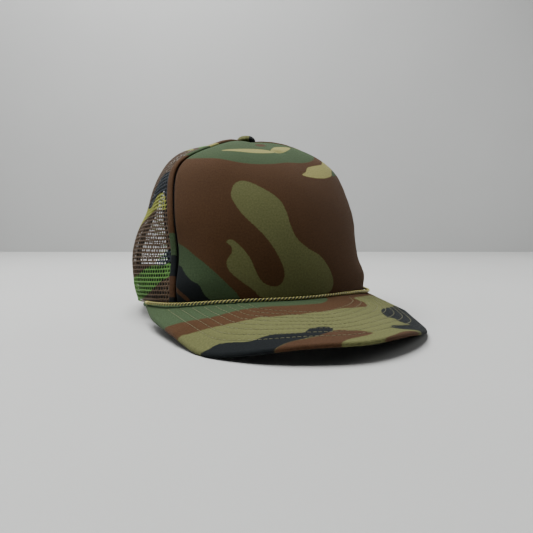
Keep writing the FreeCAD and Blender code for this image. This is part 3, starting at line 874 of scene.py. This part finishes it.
def rope():
    """Two strands laid up round each other along the seam of crown and visor."""
    guide = rope_line()
    centre = resample(guide, 0.3 * MM)
    ahead = unit(np.gradient(centre, axis=0))
    side = unit(np.cross(ahead, (0.0, 0.0, 1.0)))
    up = np.cross(side, ahead)
    run = np.arange(len(centre)) * np.linalg.norm(centre[1] - centre[0])
    around = 18
    places, faces, crevice_shade, cloth = [], [], [], []
    for strand in range(STRANDS):
        turn = math.tau * (strand / STRANDS + run / (STRAND_TURN * MM))
        out = np.cos(turn)[:, None] * side + np.sin(turn)[:, None] * up
        over = np.cos(turn)[:, None] * up - np.sin(turn)[:, None] * side
        middle = centre + out * (ROPE_RADIUS - STRAND_RADIUS) * MM
        angle = circle(around)
        ring = ring_round(angle, out, over)
        faces += sweep_faces(len(centre), around, strand * len(centre) * around)
        places.append((middle[:, None] + ring * STRAND_RADIUS * MM).reshape(-1, 3))
        # painted shade on each strand's inward side, down between the two strands
        crevice_shade.append(np.tile(np.clip(1.9 - 2.6 * np.cos(angle), 0, 1), len(centre)))
        cloth.append(cloth_fields(run[:, None] / MM, angle[None] * STRAND_RADIUS)["cloth_at"])
    fields = {"crevice_shade": np.concatenate(crevice_shade), "cloth_at": np.vstack(cloth)}
    piece = make_piece("rope_strands", np.vstack(places), faces, fields)
    finish_piece(piece, ROPE, "gold_rope", "rope")

    for name, end, heading in (("right", centre[0], -ahead[0]), ("left", centre[-1], ahead[-1])):
        tack(name, end, heading)


def tack(name, end, heading):
    """Rope end whipped with yarn and sewn down: a rounded, ridged knob."""
    side = unit(np.cross(heading, (0.0, 0.0, 1.0)))
    up = np.cross(side, heading)
    share = np.linspace(0, 1, 25)
    ridges = np.cos(share * math.tau * 6)
    radius = ROPE_RADIUS * MM * np.sqrt(np.clip(1 - share ** 3, 0.02, 1)) * (1 + 0.07 * ridges)
    angle = circle(20)
    ring = ring_round(angle, side, up)
    rings = end + heading * (share * TACK_LENGTH * MM)[:, None, None] + ring * radius[:, None, None]
    fields = cloth_fields(angle[None] * 1.4, share[:, None] * TACK_LENGTH)
    # painted shade in the dips between the whipping's ridges
    fields["crevice_shade"] = np.repeat(np.clip(0.3 - 0.4 * ridges, 0, 1), 20)
    piece = sweep("rope_end_" + name, rings, fields)
    finish_piece(piece, ROPE, "gold_rope", "rope_tack_" + name)


# ---------------------------------------------------------------- front of the crown

LINING_FACE = 1.3                  # depths of the foam's two faces
LINING_BACK = 4.0
LINING_FOLLOWS = 0.85              # share of the cover's rise that the foam makes too
MARGIN_WIDTH = 5.4
MARGIN_THICK = 2.3
MARGIN_MIDDLE = 2.9                # how far behind the front seam its middle runs
MARGIN_TOP_REACH = 0.085           # reach at which it ends below the button


def front_grid(rows, columns, inset):
    """Azimuth and height of a grid over the front panel, from rim to button and right to left."""
    top = height_of(0.0, BUTTON_REACH)
    reach = reach_of(0.0, np.linspace(TRIM, top, rows))[:, None]
    margin = inset / per_degree(55.0, reach)
    azimuth = np.linspace(-1, 1, columns)[None] * (front_seam(reach) - margin)
    return azimuth, height_of(azimuth, reach * np.ones_like(azimuth)), reach


def seam_drop(azimuth, reach):
    """The panel's edge rolls down into the seam on each side."""
    gap = (front_seam(reach) - np.abs(azimuth)) * per_degree(55.0, reach)
    return 2.0 * (1 - ease(gap, -0.5, 2.8)) ** 1.4


def front_bulge(azimuth, height):
    """The foam bellies out above the visor's corners."""
    belly = np.where(azimuth > 0, 2.4, 1.3) * ease(np.abs(azimuth), 26, 48)
    return belly * hump(height, 14, 9)


def front_pucker(azimuth, height):
    """A tuck in the cloth below the button and a few faint waves."""
    across = azimuth * PRINT_SCALE
    tuck = 0.9 * np.exp(-((across - 12) / 9) ** 2 - ((height - 118.5 + 0.12 * (across - 12)) / 1.7) ** 2)
    fold = 0.5 * np.exp(-((across - 12) / 12) ** 2 - ((height - 123) / 3.0) ** 2)
    waves = 0.22 * np.sin(across / 13 + height / 21) * np.sin(height / 17 - across / 30)
    return fold - tuck + waves


def front_panel():
    """Printed cloth over foam, sewn down all round and swelling between its seams."""
    azimuth, height, reach = front_grid(128, 165, 0.2)
    drop = seam_drop(azimuth, reach)
    swell = front_bulge(azimuth, height) + front_pucker(azimuth, height)
    outer = crown_at(azimuth, height, drop - swell)
    inner = crown_at(azimuth, height, drop - swell + COVER_THICK)

    coarse_azimuth, coarse_height, _ = front_grid(40, 56, 0.2)
    rise = cloth_rise(crown_at(coarse_azimuth, coarse_height, 0.0), pressure=1500.0, limit=2.0 * MM)
    rise = refine(rise, *azimuth.shape)
    fields = cloth_fields(azimuth * PRINT_SCALE, height, lambda places: drawn_print(places, CROWN_PRINT))
    piece = shell("front_cover", outer + rise, inner + rise, fields)
    finish_piece(piece, FABRIC, "printed_fabric", "front_panel")

    azimuth, height, reach = front_grid(72, 90, 1.6)
    drop = seam_drop(azimuth, reach)
    swell = front_bulge(azimuth, height)
    lining = LINING_FOLLOWS * refine(rise, *azimuth.shape)
    quilt = 0.25 * np.sin(azimuth * PRINT_SCALE / 9) * np.sin(height / 8)
    outer = crown_at(azimuth, height, drop - swell + LINING_FACE) + lining
    inner = crown_at(azimuth, height, LINING_BACK + quilt)
    piece = shell("front_lining", outer, inner, cloth_fields(azimuth * PRINT_SCALE, height))
    finish_piece(piece, FOAM, "foam", "front_foam")


def seam_margins():
    """Folded margin of the print beside each front seam: a plump strip with a groove before it."""
    across, inwards = flat_oval(14, MARGIN_WIDTH, MARGIN_THICK, 2.6)
    steps = np.linspace(TRIM, height_of(55.0, MARGIN_TOP_REACH), 130)[:, None]
    azimuth, height = behind_seam(steps, MARGIN_MIDDLE + across[None])
    plump = 1 + 0.05 * np.sin(steps / 1.6) + 0.05 * np.sin(steps / 7.3)
    depth = 0.15 + inwards[None] * plump
    for name, side in (("right", -1), ("left", 1)):
        rings = crown_at(side * azimuth, height, depth)
        printed = lambda places: drawn_print(np.abs(places) * (-1, 1), WELT_PRINT)
        fields = cloth_fields(side * azimuth * PRINT_SCALE, height, printed)
        piece = sweep("seam_margin_" + name, rings, fields)
        finish_piece(piece, FABRIC, "printed_fabric", "seam_welt_" + name)


# ---------------------------------------------------------------- netting

NET_COLUMN = 3.0
NET_ROW = 3.05
NET_HOLE = 0.64                    # size of each hole next to its cell
NET_FOOT = 2.2                     # height of the lowest row's middle
NET_TOP_REACH = 0.055              # reach at which the rows stop below the button
NET_SET_BACK = 2.2                 # how far behind the front seam the netting starts
NET_SNAP = 0.45                    # nodes nearer an edge than this share of a column are drawn on to it
NET_MIDDLE = 1.3                   # depth of the netting's middle
NET_HALF = 0.22                    # half its thickness
# Corners of one cell, from its right-hand lower corner round to its bottom.
CELL = [(0.5, -0.42), (0.5, 0.42), (0.0, 0.58), (-0.5, 0.42), (-0.5, -0.42), (0.0, -0.58)]
ARCH_CENTRE = 5.0                  # height of the rear arch's centre above the rim
BINDING_MIDDLE = 39.0
BINDING_OUTER = 42.0


def net_cells(centre, first, last):
    """Middles of the cells of a panel: (columns across, rows up), in half columns and rows."""
    top = float(height_of(centre, NET_TOP_REACH))
    cells = []
    for row in range(int((top - NET_FOOT) / NET_ROW)):
        height = NET_FOOT + row * NET_ROW
        reach = reach_of(centre, height)
        scale = per_degree(centre, reach)
        left = (first(reach) - centre) * scale + NET_COLUMN / 2
        right = (last(reach) - centre) * scale - NET_COLUMN / 2
        shift = row % 2
        low = math.ceil(left / NET_COLUMN - shift / 2)
        high = math.floor(right / NET_COLUMN - shift / 2)
        cells += [(2 * column + shift, row) for column in range(low, high + 1)]
    return np.array(cells)


def net_azimuth(centre, first, last, across, height):
    """Azimuth of a place on a flat-cut net panel, drawn out to its seams at the edges."""
    reach = reach_of(centre, height)
    azimuth = centre + across / per_degree(centre, reach)
    reach = reach_of(azimuth, height)
    scale = per_degree(azimuth, reach)
    low, high = first(reach), last(reach)
    near = NET_SNAP * NET_COLUMN
    azimuth = np.where((azimuth - low) * scale < near, low, azimuth)
    return np.where((high - azimuth) * scale < near, high, azimuth)


def netting(name, side, centre, first, last, printed, arched=False):
    """One panel of knitted net: every cell is real, with strands that are thickest at their middle."""
    cells = net_cells(centre, first, last)
    corners = np.array(CELL)
    across = cells[:, :1] * 0.5 + corners[None, :, 0]
    up = cells[:, 1:] + corners[None, :, 1]
    keys = np.stack([np.round(across * 2), np.round(up * 50)], axis=-1).reshape(-1, 2).astype(int)
    shared, where = np.unique(keys, axis=0, return_inverse=True)
    where = where.reshape(-1, 6)

    random = np.random.default_rng(7)
    node_across = shared[:, 0] / 2 * NET_COLUMN + random.normal(0, 0.07, len(shared))
    node_height = NET_FOOT + shared[:, 1] / 50 * NET_ROW + random.normal(0, 0.06, len(shared))
    node_height = np.maximum(node_height, TRIM)
    node_azimuth = net_azimuth(centre, first, last, node_across, node_height)
    cell_azimuth = node_azimuth[where]
    cell_height = node_height[where]
    middle_azimuth = cell_azimuth.mean(axis=1, keepdims=True)
    middle_height = cell_height.mean(axis=1, keepdims=True)
    edge = np.minimum(middle_azimuth - first(0.9), last(0.9) - middle_azimuth)
    hole = NET_HOLE * (0.5 + 0.5 * ease(middle_height, 1.0, 5.0)) * (0.72 + 0.28 * ease(edge, 0.5, 3.0))
    hole = hole * (1 - 0.3 * ease(middle_height, 78, 98)) * (1 + random.normal(0, 0.05, hole.shape))
    hole_azimuth = middle_azimuth + (cell_azimuth - middle_azimuth) * hole
    hole_height = middle_height + (cell_height - middle_height) * hole

    if arched:
        local = crown_local(middle_azimuth, reach_of(middle_azimuth, middle_height), NET_MIDDLE)
        clear = np.hypot(local[..., 0], local[..., 2] - ARCH_CENTRE)[:, 0] > BINDING_OUTER - 1.0
        where, hole_azimuth, hole_height = where[clear], hole_azimuth[clear], hole_height[clear]

    azimuth = side * np.concatenate([node_azimuth, node_azimuth, hole_azimuth.ravel()])
    height = np.concatenate([node_height, node_height, hole_height.ravel()])
    nodes = len(node_azimuth)
    depth = np.full(len(azimuth), NET_MIDDLE)
    depth[:nodes] -= NET_HALF
    depth[nodes:2 * nodes] += NET_HALF
    rim = 2 * nodes + np.arange(where.size).reshape(-1, 6)
    after = np.roll(where, -1, axis=1)
    rim_after = np.roll(rim, -1, axis=1)
    outside = np.stack([where, after, rim_after, rim], axis=-1).reshape(-1, 4)
    inside = np.stack([rim, rim_after, after + nodes, where + nodes], axis=-1).reshape(-1, 4)
    edges = {(int(a), int(b)) for a, b in zip(where.ravel(), after.ravel())}
    border = np.array(sorted(e for e in edges if e[::-1] not in edges))
    walls = np.column_stack([border[:, ::-1], border + nodes])
    faces = np.vstack([outside, inside, walls])
    used = np.unique(faces)
    renumber = np.zeros(len(azimuth), int)
    renumber[used] = np.arange(len(used))
    places = crown_at(azimuth[used], height[used], depth[used])
    fields = cloth_fields(azimuth[used] * PRINT_SCALE, height[used], printed)
    piece = make_piece(name + "_net", places, renumber[faces], fields)
    finish_piece(piece, NET, "printed_mesh", name)
    return piece


def net_panels():
    """Two panels on each side of the crown; the rear pair leave the arch free."""
    side_first = lambda reach: front_seam(reach) + NET_SET_BACK / per_degree(60.0, reach)
    side_last = lambda reach: SIDE_SEAM - 0.1 + 0 * reach
    rear_first = lambda reach: SIDE_SEAM + 0.1 + 0 * reach
    rear_last = lambda reach: 179.9 + 0 * reach
    drawn = lambda places: drawn_print(places, NET_PRINT)
    loose = lambda seed: (lambda places: loose_print(places, seed))
    # Name, side, middle, both edges, print, arched, cut size in metres and cut area in square metres.
    panels = (
        ("side_mesh_right", -1, 84.0, side_first, side_last, drawn, False, (0.105, 0.150), 0.0127),
        ("side_mesh_left", 1, 84.0, side_first, side_last, loose(11), False, (0.105, 0.150), 0.0127),
        ("rear_mesh_right", -1, 147.0, rear_first, rear_last, loose(5), True, (0.108, 0.150), 0.0114),
        ("rear_mesh_left", 1, 147.0, rear_first, rear_last, loose(23), True, (0.108, 0.150), 0.0114),
    )
    for name, side, centre, first, last, printed, arched, flat, cut_area in panels:
        piece = netting(name, side, centre, first, last, printed, arched)


# ---------------------------------------------------------------- tapes, bands and binding

TAPE_WIDTH = 12.0
TAPE_THICK = 0.9
TAPE_DEPTH = 2.4                   # depth of the tapes' middle
TAPE_TOP = 133.0                   # height at which the tapes end below the button


def tape(name, middle, node, bottom=TRIM):
    """Woven tape inside the crown over a seam, with rounded edges and a stitch furrow near each."""
    across, inwards = flat_oval(18, TAPE_WIDTH, TAPE_THICK, 5.0)
    height = np.linspace(bottom, TAPE_TOP, 90)[:, None]
    seam = middle(height)
    scale = per_degree(seam, reach_of(seam, height))
    narrow = np.minimum(1.0, 11.0 * scale / 6.0)
    furrow = 0.22 * np.exp(-((np.abs(across) - 4.4) / 0.5) ** 2)
    azimuth = seam + across[None] * narrow / scale
    depth = TAPE_DEPTH + inwards[None] * (1 - furrow) + 0.08 * np.sin(height / 3.1)
    piece = sweep(name, crown_at(azimuth, height, depth), cloth_fields(across[None], height))
    finish_piece(piece, TAPE, "black_tape", node)


def seam_tapes():
    """Tapes over the two front, two side and one rear seam, inside the crown."""
    def beside_front(side):
        def middle(height):
            seam = front_seam(reach_of(55.0, height))
            scale = per_degree(60.0, reach_of(seam, height))
            return side * (seam + np.minimum(6.1 / scale, 13.0))
        return middle

    for name, side in (("right", -1), ("left", 1)):
        tape("front_tape_" + name, beside_front(side), "front_seam_tape_" + name)
        tape("side_tape_" + name, lambda height, s=side: s * SIDE_SEAM + 0 * height, "side_seam_tape_" + name)
    tape("rear_tape", lambda height: 180.0 + 0 * height, "rear_seam_tape", bottom=48.0)


BAND_FACE = 5.9                    # depth of the sweatband's two faces
BAND_BACK = 4.4


def sweatband():
    """Padded cotton band inside the rim, plump between its two sewn edges."""
    band_end, low, high = 148.0, 0.6, 30.0
    azimuth = np.linspace(-band_end, band_end, 241)[None]
    height = np.linspace(low, high, 25)[:, None]
    coarse_azimuth = np.linspace(-band_end, band_end, 121)[None]
    coarse_height = np.linspace(low, high, 10)[:, None]
    lie = crown_at(coarse_azimuth, coarse_height, BAND_FACE)
    rise = refine(cloth_rise(lie[:, ::-1], pressure=60.0, limit=1.2 * MM)[:, ::-1], 25, 241)
    edge = np.minimum(height - low, high - height)
    roll = 0.8 * (1 - ease(edge, 0, 2.0)) ** 2
    seam = 0.5 * np.exp(-((edge - 3.2) / 0.6) ** 2)
    gather = 0.12 * np.sin(azimuth * 2.3) * np.exp(-edge / 5)
    inner = crown_at(azimuth, height, BAND_FACE - roll - seam + gather) + rise
    outer = crown_at(azimuth, height, BAND_BACK + 0.5 * roll)
    fields = cloth_fields(azimuth * PRINT_SCALE, height)
    piece = shell("sweatband_cotton", inner, outer, fields)
    finish_piece(piece, COTTON, "black_cotton", "sweatband")

    around = np.linspace(-band_end + 1, band_end - 1, 600)
    rows = [
        lines_between(lambda depth, h=at: crown_at(around, h, depth), 5.55, 9.0, inwards=True)
        for at in (low + 3.2, high - 3.2)
    ]
    thread = stitching("sweatband_stitching", rows, 0.28 * MM, 2.6 * MM, 0.8 * MM)
    finish_piece(thread, DARK_THREAD, "stitch_thread")


def arch_place(radius, turn, depth):
    """Place on the back of the crown at this distance and direction from the arch's centre."""
    x = radius * np.cos(turn)
    z = ARCH_CENTRE + radius * np.sin(turn)
    azimuth = np.full(np.broadcast(x, depth).shape, 180.0)
    share = np.clip(z / (CROWN_HEIGHT - depth), 0, 1) ** ROUNDNESS_TOP
    for _ in range(6):
        reach = (1 - share) ** (1 / roundness(azimuth))
        azimuth = 180 - np.degrees(np.arcsin(np.clip(x / ((HALF_WIDTH - depth) * reach), -1, 1)))
    local = crown_local(azimuth, reach, depth)
    settled = give(np.where(azimuth > 180, 360 - azimuth, azimuth), height_of(180.0, reach))
    local = crown_local(azimuth, reach, depth + settled)
    return to_frame(local)


def arch_binding():
    """Folded tape round the opening at the back, with two rows of stitches."""
    dip = math.asin((ARCH_CENTRE - TRIM - 0.3) / BINDING_MIDDLE)
    turn = np.linspace(-dip, math.pi + dip, 161)[:, None]
    across, inwards = flat_oval(20, 6.2, 3.1, 4.0)
    ripple = 0.12 * np.sin(turn * 31) + 0.1 * np.sin(turn * 12.7)
    depth = 1.4 + inwards[None] * (1 + 0.1 * ripple) + 0.4 * ripple
    rings = arch_place(BINDING_MIDDLE + across[None], turn, depth)
    spots = cloth_fields(turn * BINDING_MIDDLE, across[None])
    piece = sweep("arch_tape", rings, spots)
    finish_piece(piece, TAPE, "black_tape", "arch_binding")

    bend = np.linspace(-dip * 0.7, math.pi + dip * 0.7, 400)
    rows = [
        lines_between(lambda deep, r=radius: arch_place(r, bend, np.full(400, deep)), -0.15, 3.0)
        for radius in (37.3, 40.9)
    ]
    thread = stitching("arch_stitching", rows, 0.28 * MM, 2.4 * MM, 0.8 * MM)
    finish_piece(thread, DARK_THREAD, "stitch_thread")


POCKET_FACE = 4.9                  # depths of the strap pockets' two faces at their edges
POCKET_BACK = 4.3
POCKET_PLUMP = 0.9                 # how much each face moves as the pocket fills


def strap_anchors():
    """Sewn pockets that hold the two ends of the snap straps."""
    for name, side in (("right", -1), ("left", 1)):
        azimuth = side * np.linspace(149.5, 158.8, 30)[None]
        height = np.linspace(3.6, 23.4, 36)[:, None]
        u = np.linspace(-1, 1, 30)[None]
        v = np.linspace(-1, 1, 36)[:, None]
        plump = (1 - u ** 6) * (1 - v ** 6)
        cross = np.minimum(np.abs(u - v), np.abs(u + v))
        furrow = 0.3 * np.exp(-(cross / 0.09) ** 2) * plump
        inner = crown_at(azimuth, height, POCKET_FACE + POCKET_PLUMP * plump - furrow)
        outer = crown_at(azimuth, height, POCKET_BACK - POCKET_PLUMP * plump)
        piece = shell("strap_pocket_" + name, inner, outer, cloth_fields(azimuth * PRINT_SCALE, height))
        finish_piece(piece, COTTON, "black_cotton", "strap_anchor_" + name)


# ---------------------------------------------------------------- button


BUTTON_RADIUS = 7.6
BUTTON_HEIGHT = 5.6
BUTTON_FOOT = 124.8                # height of its underside over the rim


def button():
    """Cloth-covered button: a low dome whose cloth gathers in small pleats under its edge."""
    turn = circle(96)[None]
    profile = smooth_curve([
        (0.02, 1.0), (0.35, 0.97), (0.65, 0.86), (0.88, 0.62), (1.0, 0.33), (0.96, 0.10), (0.80, 0.0),
        (0.3, 0.02),
    ], 5, closed=False)
    radius = profile[:, :1] * BUTTON_RADIUS
    rise = profile[:, 1:] * BUTTON_HEIGHT + 0.1
    under = 1 - ease(profile[:, 1:], 0.1, 0.6)
    pleats = 1 + under * 0.035 * np.sin(turn * 22) + 0.012 * np.sin(turn * 3 + 1)
    out = radius * pleats
    x, y = out * np.sin(turn), -APEX_FORWARD - out * np.cos(turn)
    local = np.stack(np.broadcast_arrays(x, y, BUTTON_FOOT + rise), axis=-1)
    x, y = local[..., 0].ravel(), local[..., 1].ravel() + APEX_FORWARD
    fields = {"camo_" + colour: np.full(len(x), -PRINT_REACH) for colour in COLOURS}
    fields["camo_olive"] = 3.0 - x * 0.5 + y * 0.3
    fields["camo_black"] = x * 0.9 - y * 0.5 - 3.6
    fields["camo_green"] = 2.5 - np.hypot(x + 2, y + 5)
    fields["cloth_at"] = np.stack([x, y, np.zeros(len(x))], axis=-1)
    piece = sweep("button_cover", to_frame(local), fields)
    finish_piece(piece, FABRIC, "printed_fabric", "top_button")


# ---------------------------------------------------------------- visor


def visor_grid(rows, columns, edge):
    """Plan of the visor between its inner edge and a line this far inside its outline."""
    turn = np.linspace(-98.6, 98.6, columns)[None]
    inner, outer = visor_span(turn)
    outer = np.maximum(outer - edge, inner + 0.2)
    reach = inner + (outer - inner) * np.linspace(0, 1, rows)[:, None]
    return reach * np.sin(np.radians(turn)), VISOR_CENTRE - reach * np.cos(np.radians(turn))


def edge_distance(x, y):
    """How far inside the visor's outline a place in plan lies."""
    line = np.vstack([OUTLINE, [[OUTLINE[-1, 0], 40.0], [OUTLINE[0, 0], 40.0]]])
    places = np.stack([x, y], axis=-1).reshape(-1, 2)
    return signed_distance(places, line).reshape(x.shape)


def furrows(distance, depth):
    """Rows of stitching pull the cloth down, and it stands proud between them."""
    row = (distance - STITCH_FIRST) / STITCH_PITCH
    off = np.abs(row - np.round(row)) * STITCH_PITCH
    sewn = (np.round(row) >= 0) & (np.round(row) < STITCH_ROWS)
    return np.where(sewn, -depth * hump(off, 0, 0.8), 0.0) + 0.1 * depth


def visor_covers():
    """Printed top cover, wrapped round the board's edge, and the dark under cover."""
    x, y = visor_grid(110, 221, EDGE_ROLL)
    lift = furrows(edge_distance(x, y), 0.34)
    around = np.radians(np.linspace(90, -68, 12))[1:]
    rim = np.stack([x[-1], y[-1]], axis=-1)
    out = unit(rim - np.array((0.0, VISOR_CENTRE)))
    skins = []
    for shrink, top in ((0.0, 0.0), (COVER_THICK, -COVER_THICK)):
        flat = visor_at(x, y, lift + top)
        radius = EDGE_ROLL - shrink
        roll = [
            visor_at(*(rim + out * radius * math.cos(a)).T, radius * math.sin(a) - EDGE_ROLL) for a in around
        ]
        skins.append(np.concatenate([flat, np.stack(roll)], axis=0))
    plan_x, plan_y = (
        np.vstack([flat, *[(rim + out * EDGE_ROLL * math.cos(a))[:, k][None] for a in around]])
        for k, flat in enumerate((x, y)))
    fields = cloth_fields(plan_x, plan_y, lambda places: drawn_print(places, VISOR_PRINT))
    piece = shell("visor_top", *skins, fields)
    finish_piece(piece, FABRIC, "printed_fabric", "visor_top_cover")

    x, y = visor_grid(90, 181, 1.5)
    lift = furrows(edge_distance(x, y), 0.3)
    fields = cloth_fields(x, y)
    inner = visor_at(x, y, UNDER_THICK - VISOR_THICK)
    piece = shell("visor_under", inner, visor_at(x, y, -VISOR_THICK - lift), fields)
    finish_piece(piece, COTTON, "black_cotton", "visor_under_cover")


def visor_rows():
    """Lines in plan of the stitching, one inside the other and clear of the rope."""
    ahead = unit(np.gradient(OUTLINE, axis=0))
    inwards = np.stack([-ahead[:, 1], ahead[:, 0]], axis=-1)
    wide, long = VISOR_INNER[0] + STITCH_CLEAR, VISOR_INNER[1] + STITCH_CLEAR
    for row in range(STITCH_ROWS):
        inset = STITCH_FIRST + row * STITCH_PITCH
        line = resample(OUTLINE + inwards * inset, 0.8)
        clear = (line[:, 0] / wide) ** 2 + (line[:, 1] / long) ** 2 > 1
        clear &= np.abs(edge_distance(line[:, 0], line[:, 1]) - inset) < 0.35
        clear &= line[:, 1] < -42
        if clear.sum() > 8:
            yield line[clear]


def visor_stitching():
    """Thread on both faces of the visor."""
    upper, lower = [], []
    for line in visor_rows():
        x, y = line.T
        top = visor_at(x, y, -0.20)
        ahead = np.gradient(visor_at(x, y, 0.0), axis=0)
        out = unit(np.cross(ahead, visor_at(x * 0.99, y * 0.99, 0.0) - top))
        out *= np.sign(out[:, 2:])
        upper.append((top, out))
        lower.append((visor_at(x, y, -VISOR_THICK + 0.14), -out))
    finish_piece(stitching("visor_thread_rows", upper, 0.16 * MM, 2.3 * MM, 0.7 * MM), VISOR_THREAD,
                 "stitch_thread", "visor_stitching")
    finish_piece(stitching("visor_under_thread", lower, 0.18 * MM, 2.3 * MM, 0.7 * MM), DARK_THREAD,
                 "stitch_thread")


# ---------------------------------------------------------------- CAD pieces that stay


def keep_cad_pieces():
    """The straps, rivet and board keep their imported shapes."""
    materials = {
        "hole_strap": SNAP_PLASTIC, "peg_strap": SNAP_PLASTIC, "button_rivet": RIVET, "visor_board": BOARD,
    }
    for node, material in materials.items():
        data = frame["nodes"][node].data
        data.materials.clear()
        data.materials.append(material)
        data.polygons.foreach_set("use_smooth", [False] * len(data.polygons))


# ---------------------------------------------------------------- floor and light


def pale_sheet(name, place, size, turn, colour):
    """Plain wall or floor of the studio."""
    shader = Shader(name, 0.8)
    at = shader.object_place()
    shader.finish(shader.vary(colour, at, 180.0, 0.04), shader.bump(shader.noise(at, 2.5, 4.0), 0.0002, 0.4))
    bpy.ops.mesh.primitive_plane_add(size=size, location=place, rotation=turn)
    sheet = bpy.context.object
    sheet.name = name
    sheet.data.materials.append(shader.material)


def stage():
    """Pale floor and a pale wall behind, with one broad soft light overhead and weak ones at the sides."""
    pale_sheet("floor", (0, 0, 0), 12.0, (0, 0, 0), tone(186, 187, 185))
    facing = (math.radians(90), 0, -math.radians(CAMERA_YAW))
    pale_sheet("wall", (0.276, 0.63, 2.0), 4.0, facing, tone(184, 185, 184))

    world = bpy.data.worlds.new("studio")
    bpy.context.scene.world = world
    world.use_nodes = True
    sky = world.node_tree.nodes["Background"]
    sky.inputs["Color"].default_value = (0.82, 0.84, 0.86, 1)
    sky.inputs["Strength"].default_value = 0.05

    soft_light("overhead", (-0.2, 0.2, 1.1), (-0.02, 0, 0), 0.8, 27.5)
    soft_light("left_window", (-0.9, 0.45, 0.8), (0, 0, 0.08), 0.6, 2.2)
    soft_light("right_rim", (0.9, -0.1, 0.35), (0, 0, 0.08), 0.4, 2.2)


def soft_light(name, place, target, size, power):
    data = bpy.data.lights.new(name, "AREA")
    data.size = size
    data.energy = power
    light = link(name, data)
    light.location = place
    light.rotation_mode = "QUATERNION"
    light.rotation_quaternion = (Vector(target) - Vector(place)).to_track_quat("-Z", "Y")


# ---------------------------------------------------------------- build

camera()
rope()
front_panel()
seam_margins()
net_panels()
seam_tapes()
sweatband()
arch_binding()
strap_anchors()
button()
visor_covers()
visor_stitching()
keep_cad_pieces()
stage()

bpy.context.view_layer.update()
